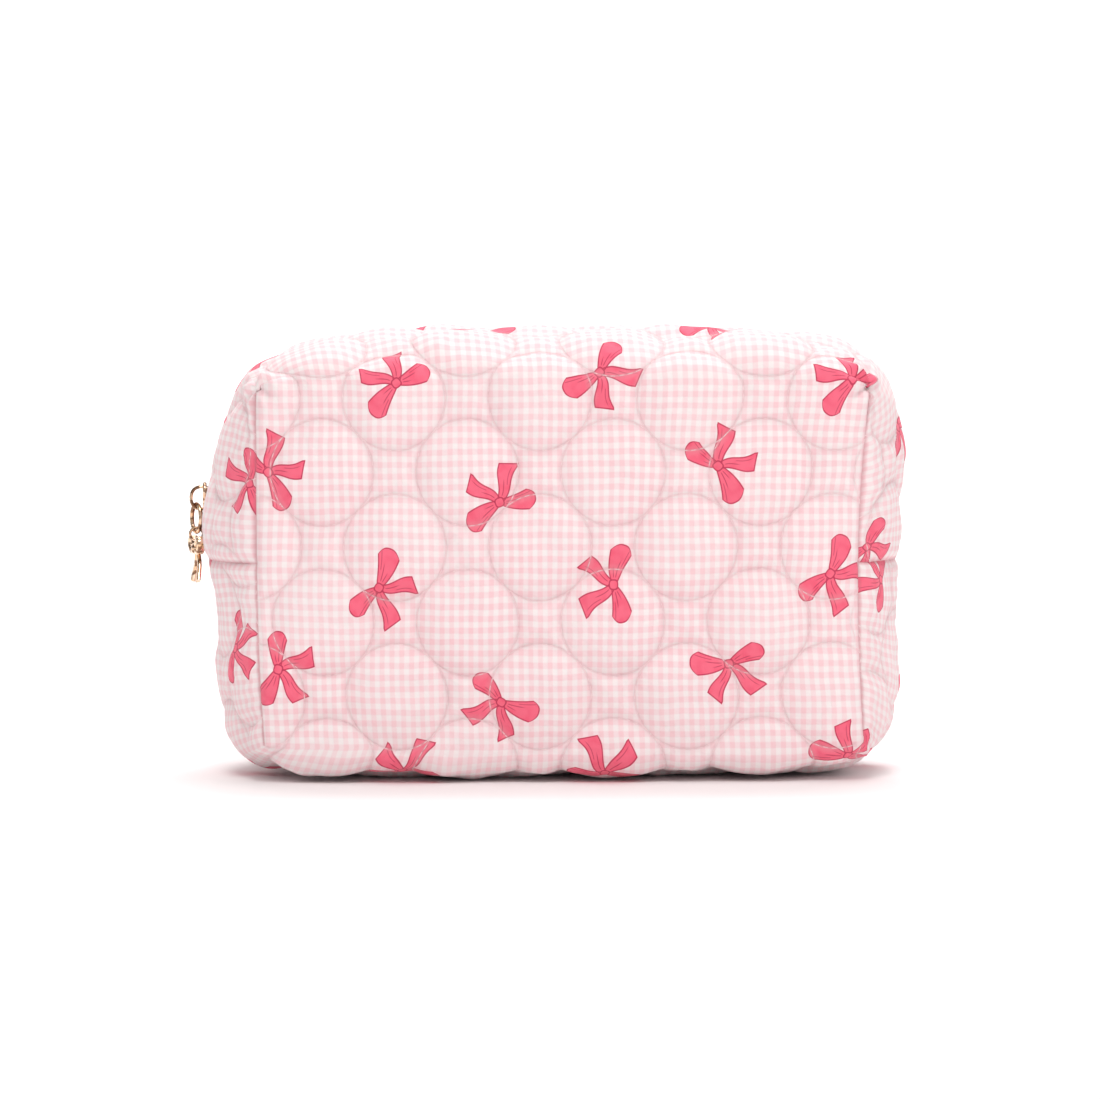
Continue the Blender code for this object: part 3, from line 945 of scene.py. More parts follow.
@dataclass
class ClothShell:
    """One layer of the bag as front, back and base pieces, each a closed solid with a skin inside it."""

    form: BagForm
    outer: float
    inner: float
    spacing: float
    puff: Callable[[Patch], np.ndarray]
    marks: Callable[[Patch], dict] = lambda patch: {}
    lengths: tuple = (0.220, 0.074, 0.072)     # across the wall, and from the end seams up and down
    patches: list[Patch] = field(default_factory=list)

    def build(self) -> "ClothShell":
        """Lay out the patches, weld them, and puff them out along their shared normals.

        Returns:
            This shell, ready for its pieces to be made.
        """
        self.patches = [self.lay(part, side) for side in Side for part in Part]
        flat = np.concatenate([patch.points.reshape(-1, 3) for patch in self.patches])
        _, first, welded = np.unique(np.round(flat / 2e-6).astype(np.int64), axis=0, return_index=True,
                                     return_inverse=True)
        welded = welded.ravel()
        faces, start = [], 0
        for patch in self.patches:
            rows, columns = patch.s.shape
            own = quads(rows, columns, start)
            faces.append(own[:, ::-1] if patch.flip else own)
            patch.welded = welded[start:start + rows * columns].reshape(rows, columns)
            start += rows * columns
        faces = welded[np.concatenate(faces)]
        normals = self.vertex_normals(flat[first], faces)
        height = np.zeros(len(first))
        hits = np.zeros(len(first))
        for patch in self.patches:
            np.add.at(height, patch.welded.ravel(), self.puff(patch).ravel())
            np.add.at(hits, patch.welded.ravel(), 1)
        points = flat[first] + normals * (height / hits)[:, None]
        points[:, 2] = np.maximum(points[:, 2], self.outer)
        normals = self.vertex_normals(points, faces)
        for patch in self.patches:
            patch.points, patch.normals = points[patch.welded], normals[patch.welded]
        return self

    def vertex_normals(self, points: np.ndarray, faces: np.ndarray) -> np.ndarray:
        """Normals of points from the faces round them.

        Args:
            points, faces: of a mesh of quads.

        Returns:
            A unit vector for each point.
        """
        corners = [points[faces[:, corner]] for corner in range(4)]
        across = np.cross(corners[2] - corners[0], corners[3] - corners[1])
        total = np.zeros_like(points)
        for corner in range(4):
            np.add.at(total, faces[:, corner], across)
        return total / np.maximum(np.linalg.norm(total, axis=1, keepdims=True), 1e-12)

    def lay(self, part: Part, side: Side) -> Patch:
        """Make one patch's grid.

        Args:
            part: wall, crown or base.
            side: front or back.

        Returns:
            The patch, before it is puffed out.
        """
        outer, inner = (replace(self.form, inset=inset) for inset in (self.outer, self.inner))
        across, up, down = (max(4, round(length / self.spacing)) for length in self.lengths)
        lower = part is Part.BASE
        if part is Part.WALL:
            s_line = np.linspace(-1, 1, across + 1)
            w_line = np.concatenate([np.linspace(0, 1, down + 1), np.linspace(1, 2, up + 1)[1:]])
        else:
            ends = down if lower else up
            s_line = np.concatenate([np.linspace(-2, -1, ends + 1)[:-1], np.linspace(-1, 1, across + 1),
                                     np.linspace(1, 2, ends + 1)[1:]])
            w_line = np.linspace(0, 1, 2 * max(2, round(self.form.depth(lower) / self.spacing / 2)) + 1)
        s, w = np.meshgrid(s_line, w_line, indexing="ij")
        group = np.full((len(s_line) - 1, len(w_line) - 1), Group[side.name].value)
        if part is Part.WALL:
            points, inside = outer.wall(s, w), inner.wall(s, w)
            cloth = np.stack([s * self.form.wall_half, points[..., 2]], -1)
            to_corner = (1 - np.abs(s)) * self.form.wall_half
            to_end, to_zip = np.full_like(s, 1.0), np.full_like(s, 1.0)
        else:
            points, inside = outer.strip(s, w, lower), inner.strip(s, w, lower)
            depth = self.form.depth(lower)
            fold = self.form.bottom_fold_z if lower else self.form.top_fold_z
            cloth = np.stack([self.form.cloth_u(s, lower), fold + depth * w * (-1 if lower else 1)], -1)
            past = np.abs(cloth[..., 0]) - self.form.wall_half
            to_corner = np.hypot(np.maximum(-past, 0), w * depth)
            to_end = self.form.drops(s, lower) - past
            to_zip = np.full_like(s, 1.0) if lower else (1 - w) * depth
            if lower:
                middle_s, middle_w = (s[1:, 1:] + s[:-1, :-1]) / 2, (w[1:, 1:] + w[:-1, :-1]) / 2
                group[(np.abs(middle_s) > 1) | (middle_w > 0.5)] = Group.BASE.value
        if side is Side.BACK:
            points, inside = points * (1, -1, 1), inside * (1, -1, 1)
        return Patch(part, side, s, w, points, inside, cloth, to_corner, to_end, to_zip, group,
                     lower != (side is Side.BACK))

    def piece(self, name: str, group: Group, material: bpy.types.Material,
              bows: BowPrint | None = None) -> bpy.types.Object:
        """Make one of the three pieces as a closed mesh with UV maps.

        Args:
            name: the piece's name.
            group: which of the three.
            material: its finish.
            bows: the print, or None for plain cloth.

        Returns:
            The object.
        """
        weld, faces, corners = [], [], []
        start = 0
        for patch in self.patches:
            rows, columns = patch.s.shape
            own = quads(rows, columns)[(patch.group == group.value).ravel()]
            own = own[:, ::-1] if patch.flip else own
            cloth = patch.cloth.reshape(-1, 2)
            if patch.side is Side.BACK:
                cloth = cloth * (-1, 1) + (BACK_SHIFT, 0)
            corners.append(cloth[own])
            faces.append(own + start)
            weld.append(patch.welded.ravel())
            start += rows * columns
        weld = np.concatenate(weld)
        faces, corners = weld[np.concatenate(faces)], np.concatenate(corners)
        size = weld.max() + 1
        outside, inside, shade = (np.zeros((size, 3)) for _ in range(3))
        marks = {}
        for patch in self.patches:
            place = patch.welded.ravel()
            for whole, own in ((outside, patch.points), (inside, patch.inner), (shade, patch.normals)):
                whole[place] = own.reshape(-1, 3)
            for mark, values in self.marks(patch).items():
                np.maximum.at(marks.setdefault(mark, np.zeros(size)), place, values.ravel())
        used, faces = np.unique(faces, return_inverse=True)
        faces = faces.reshape(-1, 4)
        count = len(used)
        loops, rim = close(faces, count)
        made = make_object(name, np.concatenate([outside[used], inside[used]]), loops, material)
        edge = {}
        for face, corner in zip(faces.tolist(), corners):
            for k in range(4):
                edge.setdefault(face[k], corner[k])
        sides = np.array([[edge[b], edge[a], edge[a], edge[b]] for a, b in rim.tolist()]).reshape(-1, 4, 2)
        every = np.concatenate([corners, corners[:, ::-1], sides])
        self.write_map(made, "cloth", every)
        if bows:
            self.write_map(made, "bow", bows.local(every, every.mean(1)))
        for mark, values in marks.items():
            layer = made.data.attributes.new(mark, 'FLOAT', 'POINT')
            both = np.concatenate([values[used], np.zeros(count)])
            layer.data.foreach_set("value", both.astype(np.float32))
        smooth = np.concatenate([shade[used], -shade[used]])
        made.data.normals_split_custom_set_from_vertices(smooth.tolist())
        return made

    def write_map(self, made: bpy.types.Object, name: str, corners: np.ndarray) -> None:
        """Write a UV map.

        Args:
            made: the object.
            name: the map's name.
            corners: the place of every face's corners.
        """
        layer = made.data.uv_layers.new(name=name)
        layer.data.foreach_set("uv", corners.reshape(-1).astype(np.float32))

    def locate(self, u: np.ndarray, v: np.ndarray, side: Side) -> tuple[np.ndarray, np.ndarray, np.ndarray]:
        """Points on the puffed cloth at places on it.

        Args:
            u, v: places on the cloth.
            side: front or back.

        Returns:
            The points, their normals, and their pieces' groups, which are -1 off the cloth.
        """
        points, normals = np.zeros((len(u), 3)), np.zeros((len(u), 3))
        group = np.full(len(u), -1)
        for patch in (patch for patch in self.patches if patch.side is side):
            lower = patch.part is Part.BASE
            fold = self.form.bottom_fold_z if lower else self.form.top_fold_z
            if patch.part is Part.WALL:
                s = u / self.form.wall_half
                heights = patch.cloth[0, :, 1]
                inside = (np.abs(s) <= 1) & (v > heights[0]) & (v <= heights[-1])
                w = np.interp(v, heights, patch.w[0])
            else:
                s = self.form.find_s(u, lower)
                w = (v - fold) / self.form.depth(lower) * (-1 if lower else 1)
                inside = (np.abs(s) <= 2) & (w >= 0) & (w <= 1)
            if not inside.any():
                continue
            i = np.interp(s[inside], patch.s[:, 0], np.arange(patch.s.shape[0]))
            j = np.interp(w[inside], patch.w[0], np.arange(patch.s.shape[1]))
            a, b = (np.minimum(place.astype(int), points_along - 2)
                    for place, points_along in zip((i, j), patch.s.shape))
            fi, fj = (i - a)[:, None], (j - b)[:, None]
            for source, target in ((patch.points, points), (patch.normals, normals)):
                target[inside] = ((source[a, b] * (1 - fi) + source[a + 1, b] * fi) * (1 - fj)
                                  + (source[a, b + 1] * (1 - fi) + source[a + 1, b + 1] * fi) * fj)
            group[inside] = patch.group[a, b]
        return points, normals, group


# --- Stitches, zip and bindings --------------------------------------------------------------------

@dataclass(frozen=True)
class Repeat:
    """A small rounded solid set at even steps along paths, by Geometry Nodes."""

    pitch: float
    size: tuple                  # half length along the path, half width across it, half height outwards
    sides: int = 6
    rings: int = 4

    def tree(self) -> bpy.types.NodeTree:
        """Build the node tree.

        Returns:
            The tree, with inputs Geometry, Pitch, Size and Material.
        """
        tree = bpy.data.node_groups.new("repeat_along", "GeometryNodeTree")
        for name, kind in (("Geometry", "NodeSocketGeometry"), ("Pitch", "NodeSocketFloat"),
                           ("Size", "NodeSocketVector"), ("Material", "NodeSocketMaterial")):
            tree.interface.new_socket(name, in_out='INPUT', socket_type=kind)
        tree.interface.new_socket("Geometry", in_out='OUTPUT', socket_type="NodeSocketGeometry")

        def add(kind: str, links: dict, **settings: Any) -> bpy.types.Node:
            """Add a node.

            Args:
                kind: the node's type.
                links: values or sockets for its inputs.
                settings: its properties, set first.

            Returns:
                The node.
            """
            node = tree.nodes.new(kind)
            for key, value in settings.items():
                setattr(node, key, value)
            for key, source in links.items():
                if isinstance(source, bpy.types.NodeSocket):
                    tree.links.new(source, node.inputs[key])
                else:
                    node.inputs[key].default_value = source
            return node

        given = add("NodeGroupInput", {}).outputs
        curve = add("GeometryNodeMeshToCurve", {"Mesh": given["Geometry"]})
        spots = add("GeometryNodeCurveToPoints", {"Curve": curve.outputs[0], "Length": given["Pitch"]},
                    mode='LENGTH')
        ball = add("GeometryNodeMeshUVSphere", {"Segments": self.sides, "Rings": self.rings, "Radius": 1.0})
        sized = add("GeometryNodeTransform", {"Geometry": ball.outputs[0], "Scale": given["Size"]})
        outward = add("GeometryNodeInputNamedAttribute", {"Name": "outward"}, data_type='FLOAT_VECTOR')
        align = "FunctionNodeAlignRotationToVector"
        along = add(align, {"Vector": spots.outputs["Tangent"]}, axis='X')
        turned = add(align, {"Rotation": along.outputs[0], "Vector": outward.outputs[0]}, axis='Z',
                     pivot_axis='X')
        laid = add("GeometryNodeInstanceOnPoints", {
            "Points": spots.outputs["Points"], "Instance": sized.outputs[0], "Rotation": turned.outputs[0]})
        real = add("GeometryNodeRealizeInstances", {0: laid.outputs[0]})
        smooth = add("GeometryNodeSetShadeSmooth", {0: real.outputs[0]})
        dressed = add("GeometryNodeSetMaterial", {0: smooth.outputs[0], "Material": given["Material"]})
        add("NodeGroupOutput", {0: dressed.outputs[0]})
        return tree

    def along(self, name: str, paths: Sequence, material: bpy.types.Material) -> bpy.types.Object:
        """Repeat along paths.

        Args:
            name: the piece's name.
            paths: pairs of points and outward directions, one row per point.
            material: the piece's finish.

        Returns:
            The plain mesh object.
        """
        edges, start = [], 0
        for points, _ in paths:
            edges += [(start + k, start + k + 1) for k in range(len(points) - 1)]
            start += len(points)
        mesh = bpy.data.meshes.new(name + "_paths")
        mesh.from_pydata(np.concatenate([points for points, _ in paths]).tolist(), edges, [])
        outward = mesh.attributes.new("outward", 'FLOAT_VECTOR', 'POINT')
        ways = np.concatenate([way for _, way in paths])
        outward.data.foreach_set("vector", ways.ravel().astype(np.float32))
        guide = bpy.data.objects.new(name + "_paths", mesh)
        bpy.context.scene.collection.objects.link(guide)
        modifier = guide.modifiers.new("repeat", 'NODES')
        modifier.node_group = self.tree()
        for item in modifier.node_group.interface.items_tree:
            value = {"Pitch": self.pitch, "Size": self.size, "Material": material}.get(item.name)
            if item.item_type == 'SOCKET' and item.in_out == 'INPUT' and value is not None:
                modifier[item.identifier] = value
        graph = bpy.context.evaluated_depsgraph_get()
        made = bpy.data.objects.new(name, bpy.data.meshes.new_from_object(guide.evaluated_get(graph)))
        left = made.data.attributes.get("outward")
        if left:
            made.data.attributes.remove(left)
        bpy.context.scene.collection.objects.link(made)
        bpy.data.objects.remove(guide)
        made.name = made.data.name = name
        return made


@dataclass
class Stitching:
    """The quilting thread on the outer cloth."""

    shell: ClothShell
    quilting: Quilting
    thread: Repeat = Repeat(0.0030, (0.00120, 0.00014, 0.00011))
    sunk: float = 0.00002
    points_round: int = 121
    jump: float = 0.004              # a run ends where the next point is further away than this
    shortest: int = 8                # points in the shortest run that is sewn

    def runs(self, side: Side) -> dict[int, list]:
        """Find the runs of stitching on one side.

        Args:
            side: front or back.

        Returns:
            Pairs of points and normals, by the piece that they are on.
        """
        found = {group.value: [] for group in Group}
        turn = np.linspace(0, math.tau, self.points_round)
        for u, v in self.quilting.circles((-0.20, -0.06), (0.20, 0.20)):
            points, normals, group = self.shell.locate(u + self.quilting.radius * np.cos(turn),
                                                       v + self.quilting.radius * np.sin(turn), side)
            start = 0
            for k in range(1, len(turn) + 1):
                if (k == len(turn) or group[k] != group[start]
                        or np.linalg.norm(points[k] - points[k - 1]) > self.jump):
                    if group[start] >= 0 and k - start > self.shortest:
                        found[int(group[start])].append((points[start:k] - normals[start:k] * self.sunk,
                                                         normals[start:k]))
                    start = k
        return found

    def build(self, material: bpy.types.Material) -> dict[Group, bpy.types.Object]:
        """Make the thread.

        Args:
            material: its finish.

        Returns:
            The thread of each piece.
        """
        front, back = (self.runs(side) for side in Side)
        return {group: self.thread.along(f"{group.name.lower()}_quilting_thread",
                                         front[group.value] + back[group.value], material)
                for group in Group}


def slab(name: str, outer: np.ndarray, inner: np.ndarray, material: bpy.types.Material,
         flip: bool) -> bpy.types.Object:
    """A closed solid between two grids of points.

    Args:
        name: the piece's name.
        outer, inner: grids of the same shape.
        material: its finish.
        flip: whether the outer grid runs clockwise seen from outside.

    Returns:
        The object.
    """
    rows, columns = outer.shape[:2]
    count = rows * columns
    top = quads(rows, columns)
    faces, _ = close(top[:, ::-1] if flip else top, count)
    return make_object(name, np.concatenate([outer.reshape(-1, 3), inner.reshape(-1, 3)]), faces, material)


@dataclass
class Zip:
    """The zip's tapes and coils along the opening."""

    form: BagForm
    depth: float = 0.0030            # of the tapes, under the outer cloth
    thickness: float = 0.0005
    width_share: float = 0.72        # the tape's outer edge, as the crown's w
    edge_y: float = 0.0008
    steps: int = 240
    coil_y: float = 0.00115
    coil_depth: float = 0.0020
    coil_end: float = 1.985          # where the teeth stop, as s
    coil_steps: int = 1200
    tooth: Repeat = Repeat(0.0015, (0.00040, 0.00135, 0.00080), 8, 6)

    def tape(self, side: Side, material: bpy.types.Material) -> bpy.types.Object:
        """Make one side's tape.

        Args:
            side: front or back.
            material: its finish.

        Returns:
            The tape.
        """
        s, w = np.meshgrid(np.linspace(-2, 2, self.steps + 1), np.linspace(self.width_share, 1, 8),
                           indexing="ij")
        layers = []
        for inset in (self.depth, self.depth + self.thickness):
            grid = replace(self.form, inset=inset).strip(s, w, False)
            edge = grid[:, -1:].copy()
            edge[..., 1] = -self.edge_y
            layers.append(np.concatenate([grid, edge], 1) * (1, -side.value, 1))
        return slab(f"{side.name.lower()}_tape", *layers, material, side is Side.BACK)

    def coil(self, side: Side, material: bpy.types.Material) -> bpy.types.Object:
        """Make one side's teeth; the back's are set half a step on from the front's.

        Args:
            side: front or back.
            material: their finish.

        Returns:
            The coil of teeth.
        """
        s = np.linspace(-self.coil_end, self.coil_end, self.coil_steps)
        low, high = (replace(self.form, inset=self.coil_depth + step).strip(s, np.ones_like(s), False)
                     for step in (0.0, -0.001))
        outward = (high - low) / np.linalg.norm(high - low, axis=1, keepdims=True)
        low[:, 1] = side.value * self.coil_y
        length = np.concatenate([[0], np.cumsum(np.linalg.norm(np.diff(low, axis=0), axis=1))])
        keep = length >= (0 if side is Side.FRONT else self.tooth.pitch / 2)
        return self.tooth.along(f"{side.name.lower()}_coil", [(low[keep], outward[keep])], material)


@dataclass
class Bindings:
    """Tape folded over the seams inside the bag."""

    form: BagForm
    depth: float = 0.0062
    thickness: float = 0.0014
    wall_share: float = 0.085        # the tape's width on the wall, in s, and past the corner, in w
    strip_share: float = 0.0085 / 0.042
    bottom_share: float = 0.04       # where the tapes of the lower and the upper seams end
    top_share: float = 0.86

    def layers(self) -> tuple[BagForm, BagForm]:
        """The forms of the tape's outer and inner faces."""
        return tuple(replace(self.form, inset=self.depth + step) for step in (0, self.thickness))

    def upright(self, side: Side, end: int, lower: bool, material: bpy.types.Material) -> bpy.types.Object:
        """The tape up one stretch of a boxed-corner seam.

        Args:
            side: front or back.
            end: -1 is left, 1 is right.
            lower: below the end seam, or above.
            material: its finish.

        Returns:
            The object.
        """
        share = np.linspace(self.bottom_share, 1.0, 26) if lower else np.linspace(0.0, self.top_share, 26)
        layers = []
        for form in self.layers():
            t, across = np.meshgrid(share + (0 if lower else 1), np.linspace(1 - self.wall_share, 1, 7),
                                    indexing="ij")
            past, w = np.meshgrid(share if lower else 1 - share, np.linspace(0, self.strip_share, 7)[1:],
                                  indexing="ij")
            both = np.concatenate([form.wall(end * across, t), form.strip(end * (1 + past), w, lower)], 1)
            layers.append(both * (1, -side.value, 1))
        name = f"{side.name.lower()}_{ENDS[end]}_{'lower' if lower else 'upper'}_tape"
        return slab(name, *layers, material, (end > 0) != (side is Side.BACK))

    def level(self, end: int, material: bpy.types.Material) -> bpy.types.Object:
        """Make the tape along one end seam, just below it.

        Args:
            end: -1 is left, 1 is right.
            material: its finish.

        Returns:
            The tape.
        """
        layers = []
        for form in self.layers():
            past, w = np.meshgrid(np.linspace(1.88, 2.0, 7), np.linspace(0.12, 1, 24), indexing="ij")
            half = form.strip(end * past, w, True)
            layers.append(np.concatenate([half, half[:, -2::-1] * (1, -1, 1)], 1))
        return slab(f"{ENDS[end]}_seam_tape", *layers, material, end > 0)


# --- Metal pieces ----------------------------------------------------------------------------------

def sweep(path: np.ndarray, across: tuple, half_across: Any, half_other: Any, sides: int = 12,
          closed: bool = False, power: float = 2.0) -> tuple[np.ndarray, list]:
    """A solid swept along a path that lies in a plane.

    Args:
        path: points, one row each.
        across: direction square to the path's plane.
        half_across, half_other: half sizes of the section that way and in the plane, one or one per point.
        sides: points round the section.
        closed: whether the path joins up.
        power: 2 for a round section, more for a squarer one.

    Returns:
        Points and faces.
    """
    across = np.array(across, float)
    ahead = np.roll(path, -1, 0) - np.roll(path, 1, 0)
    if not closed:
        ahead[0], ahead[-1] = path[1] - path[0], path[-1] - path[-2]
    ahead /= np.linalg.norm(ahead, axis=1, keepdims=True)
    other = np.cross(ahead, across)
    turn = np.linspace(0, math.tau, sides, endpoint=False)
    c, s = (np.sign(f) * np.abs(f) ** (2 / power) for f in (np.cos(turn), np.sin(turn)))
    wide, high = (np.broadcast_to(np.asarray(size, float), len(path))[:, None, None]
                  for size in (half_across, half_other))
    points = path[:, None] + across * wide * c[None, :, None] + other[:, None] * high * s[None, :, None]
    count = len(path)
    faces = []
    for i in range(count if closed else count - 1):
        j = (i + 1) % count
        for k in range(sides):
            m = (k + 1) % sides
            faces.append([i * sides + k, i * sides + m, j * sides + m, j * sides + k])
    points = points.reshape(-1, 3)
    if not closed:
        faces.append(list(range(sides))[::-1])
        faces.append([(count - 1) * sides + k for k in range(sides)])
    return points, faces


def merge(parts: Iterable[tuple[np.ndarray, list]]) -> tuple[np.ndarray, list]:
    """Put solids together.

    Args:
        parts: points and faces of each.

    Returns:
        Points and faces of all.
    """
    points, faces, start = [], [], 0
    for some, sides in parts:
        points.append(some)
        faces += [[start + k for k in face] for face in sides]
        start += len(some)
    return np.concatenate(points), faces


def solid(name: str, parts: Iterable[tuple[np.ndarray, list]],
          material: bpy.types.Material) -> bpy.types.Object:
    """Make one smooth object of closed solids, with its faces turned outwards.

    Args:
        name: the piece's name.
        parts: points and faces of each solid.
        material: its finish.

    Returns:
        The object.
    """
    made = make_object(name, *merge(parts), material)
    bm = bmesh.new()
    bm.from_mesh(made.data)
    bmesh.ops.recalc_face_normals(bm, faces=bm.faces)
    bm.to_mesh(made.data)
    bm.free()
    made.data.set_sharp_from_angle(angle=math.radians(48))
    return made


def tube_faces(rings: int, count: int) -> list:
    """Faces between neighbouring rings of a number of points each."""
    return [[i + k, i + (k + 1) % count, i + count + (k + 1) % count, i + count + k]
            for i in range(0, (rings - 1) * count, count) for k in range(count)]


def plate(outline: np.ndarray, low: float, high: float, edge: float) -> tuple[np.ndarray, list]:
    """A plate square to X with rounded edges.

    Args:
        outline: (y, z) points round it.
        low, high: its faces' x.
        edge: how far its edges are rounded.

    Returns:
        Points and faces.
    """
    middle = outline.mean(0)
    reach = np.linalg.norm(outline - middle, axis=1).mean()
    rings = []
    for x, share in ((low, 1.0), (low + edge * 0.3, 0.3), (low + edge, 0.0), (high - edge, 0.0),
                     (high - edge * 0.3, 0.3), (high, 1.0)):
        shrunk = middle + (outline - middle) * (1 - share * edge / reach)
        rings.append(np.column_stack([np.full(len(outline), x), shrunk]))
    count = len(outline)
    faces = tube_faces(len(rings), count)
    faces += [list(range(count))[::-1], [(len(rings) - 1) * count + k for k in range(count)]]
    return np.concatenate(rings), faces


def ring_path(centre: tuple, half_wide: float, half_high: float, way: tuple, steps: int = 48) -> np.ndarray:
    """An upright ellipse.

    Args:
        centre: its middle.
        half_wide, half_high: its half sizes.
        way: the level direction in its plane.
        steps: how many points it has.

    Returns:
        Its points.
    """
    turn = np.linspace(0, math.tau, steps, endpoint=False)[:, None]
    wide, high = np.array(way) * half_wide, np.array((0, 0, 1.0)) * half_high
    return np.array(centre) + wide * np.cos(turn) + high * np.sin(turn)


def node_box(node: str) -> tuple[tuple, tuple, tuple]:
    """Lowest corner, highest corner and middle of a node of the frame."""
    low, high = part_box(node)
    return low, high, tuple((a + b) / 2 for a, b in zip(low, high))


@dataclass
class SliderAndCharm:
    """The zip slider, its pull ring, and the bow charm on a jump ring; places come from the frame."""

    gold: bpy.types.Material
    bridge_room: float = 0.0052      # from the slider's outermost point to its front plate
    plate_thick: float = 0.0013
    plate_edge: float = 0.0005
    plate_power: float = 0.62        # under 1, so that its outline is nearly square
    bridge_rise: float = 0.0050
    bridge_half: float = 0.0040      # half the bridge's length along the slider
    flange_y: float = 0.00375
    ring_wire: float = 0.00078
    jump_wire: float = 0.0005
    ring_turn: float = 0.5           # how far the ring and the charm are turned on their rests, in radians
    charm_turn: float = 0.20
    eye_half: float = 0.0014         # the charm's eyelet over its wire's outside
    knot_drop: float = 0.00456       # from the charm's top to the middle of its knot
    knot_half: tuple = (0.0019, 0.0020, 0.0021)
    loop_reach: float = 0.0017       # how far a loop's middle line stays in from the charm's side
    loop_rise: float = 0.0018
    loop_half: float = 0.0031
    tail_spread: float = 0.0050

    def slider(self) -> bpy.types.Object:
        """Make the slider: two plates, a post between them and the bridge that the ring hangs from.

        Returns:
            The slider.
        """
        low, high, (_, _, middle) = node_box("zip_slider")
        half, front = (high[2] - low[2]) / 2, low[0] + self.bridge_room
        turn = np.linspace(0, math.tau, 64, endpoint=False)
        y, z = (np.sign(f) * np.abs(f) ** self.plate_power for f in (np.cos(turn), np.sin(turn)))
        wide = (high[1] - low[1]) / 2 * (0.80 + 0.20 * ease(-0.7, 0.7, z))
        outline = np.column_stack([y * wide, middle + z * half])
        flanges = []
        for sign in (-1, 1):
            along = np.linspace(-1, 1, 12)
            path = np.column_stack([np.full(12, front + 0.0016),
                                    sign * (self.flange_y + 0.00035 * ease(-1, 1, along)),
                                    middle + 0.72 * along * half])
            flanges.append(sweep(path, (1, 0, 0), 0.0008, 0.00045, 10, power=3))
        arch = np.linspace(0, math.pi, 40)
        bridge = np.column_stack([front + 0.0008 - (self.bridge_rise + 0.0001) * np.sin(arch) ** 0.55,
                                  np.zeros(40), middle - self.bridge_half * np.cos(arch)])
        post = np.column_stack([np.linspace(front, high[0] - 0.0006, 8), np.zeros(8),
                                np.full(8, middle + half * 0.35)])
        parts = [plate(outline, front, front + self.plate_thick, self.plate_edge),
                 plate(outline, high[0] - self.plate_thick, high[0], self.plate_edge), *flanges,
                 sweep(bridge, (0, 1, 0), 0.0013 - 0.0003 * np.sin(arch), 0.00062, 14, power=2.6),
                 sweep(post, (0, 1, 0), 0.0003, 0.0009, 8)]
        return solid("slider", parts, self.gold)

    def ring(self) -> bpy.types.Object:
        """Make the oval pull ring, a little turned on the bridge.

        Returns:
            The ring.
        """
        low, high, centre = node_box("pull_ring")
        wide, tall = ((high[axis] - low[axis]) / 2 - self.ring_wire for axis in (1, 2))
        way = (math.sin(self.ring_turn), -math.cos(self.ring_turn), 0)
        wire = sweep(ring_path(centre, wide, tall, way, 64), (way[1], -way[0], 0), self.ring_wire,
                     self.ring_wire, 14, True)
        return solid("oval_ring", [wire], self.gold)

    def jump(self) -> bpy.types.Object:
        """Make the jump ring between the pull ring and the charm's eyelet.

        Returns:
            The ring.
        """
        low, high, centre = node_box("jump_ring")
        half = (high[2] - low[2]) / 2 - self.jump_wire
        wire = sweep(ring_path(centre, half, half, (1, 0, 0), 36), (0, 1, 0), self.jump_wire,
                     self.jump_wire, 12, True)
        return solid("small_ring", [wire], self.gold)

    def knot(self, x: float, z: float) -> tuple[np.ndarray, list]:
        """The charm's rounded, nearly square knot.

        Args:
            x, z: its middle.

        Returns:
            Points and faces.
        """
        sides, levels = 24, 15
        turn, rise = np.meshgrid(np.linspace(0, math.tau, sides, endpoint=False),
                                 np.linspace(-1, 1, levels) * math.pi / 2, indexing="ij")
        turn_x, turn_y, inward, upward = (np.sign(f) * np.abs(f) ** 0.7 for f in (
            np.cos(turn), np.sin(turn), np.cos(rise), np.sin(rise)))
        wide, deep, high = self.knot_half
        ball = np.stack([x + wide * turn_x * inward, deep * turn_y * inward, z + high * upward], -1)
        ball = ball[:, 1:-1].transpose(1, 0, 2)
        faces = tube_faces(levels - 2, sides)
        faces += [list(range(sides))[::-1], [(levels - 3) * sides + k for k in range(sides)]]
        return ball.reshape(-1, 3), faces

    def ribbon(self, x: float, z: float, half: float, drop: float, sign: int) -> list:
        """One side of the charm's bow.

        Args:
            x, z: the knot's middle.
            half: how far the bow reaches sideways.
            drop: how far its tail hangs below the knot.
            sign: -1 or 1, the side.

        Returns:
            Points and faces of its loop, of the thin metal inside the loop, and of its tail.
        """
        steps = 40
        share = np.linspace(0, 1, steps)
        turn = share * math.tau
        out = (1 - np.cos(turn)) / 2
        spread = np.sin(turn) * (0.35 + 0.65 * out ** 0.7)
        lift = z + out * self.loop_rise
        loop = np.column_stack([np.full(steps, x), sign * (0.0006 + out * (half - self.loop_reach)),
                                lift + spread * self.loop_half])[:-1]
        web = [np.column_stack([np.full(steps, x + level), sign * (0.0006 + out * (half - 0.0024)),
                                lift + spread * 0.0026])[:-1] for level in (-0.0004, 0.0004)]
        count = steps - 1
        caps = [list(range(count)), [count + k for k in range(count)][::-1]]
        tail = np.column_stack([x + 0.0005 * np.sin(share * 4),
                                sign * (0.0004 + self.tail_spread * share ** 0.8), z - drop * share * 0.97])
        return [sweep(loop, (1, 0, 0), 0.0013 + 0.0003 * out[:-1], 0.00085, 12, True, 2.6),
                (np.concatenate(web), caps + tube_faces(2, count)),
                sweep(tail, (1, 0, 0), 0.00075 + 0.0001 * share, 0.0009 + 0.0011 * share, 12, power=3)]

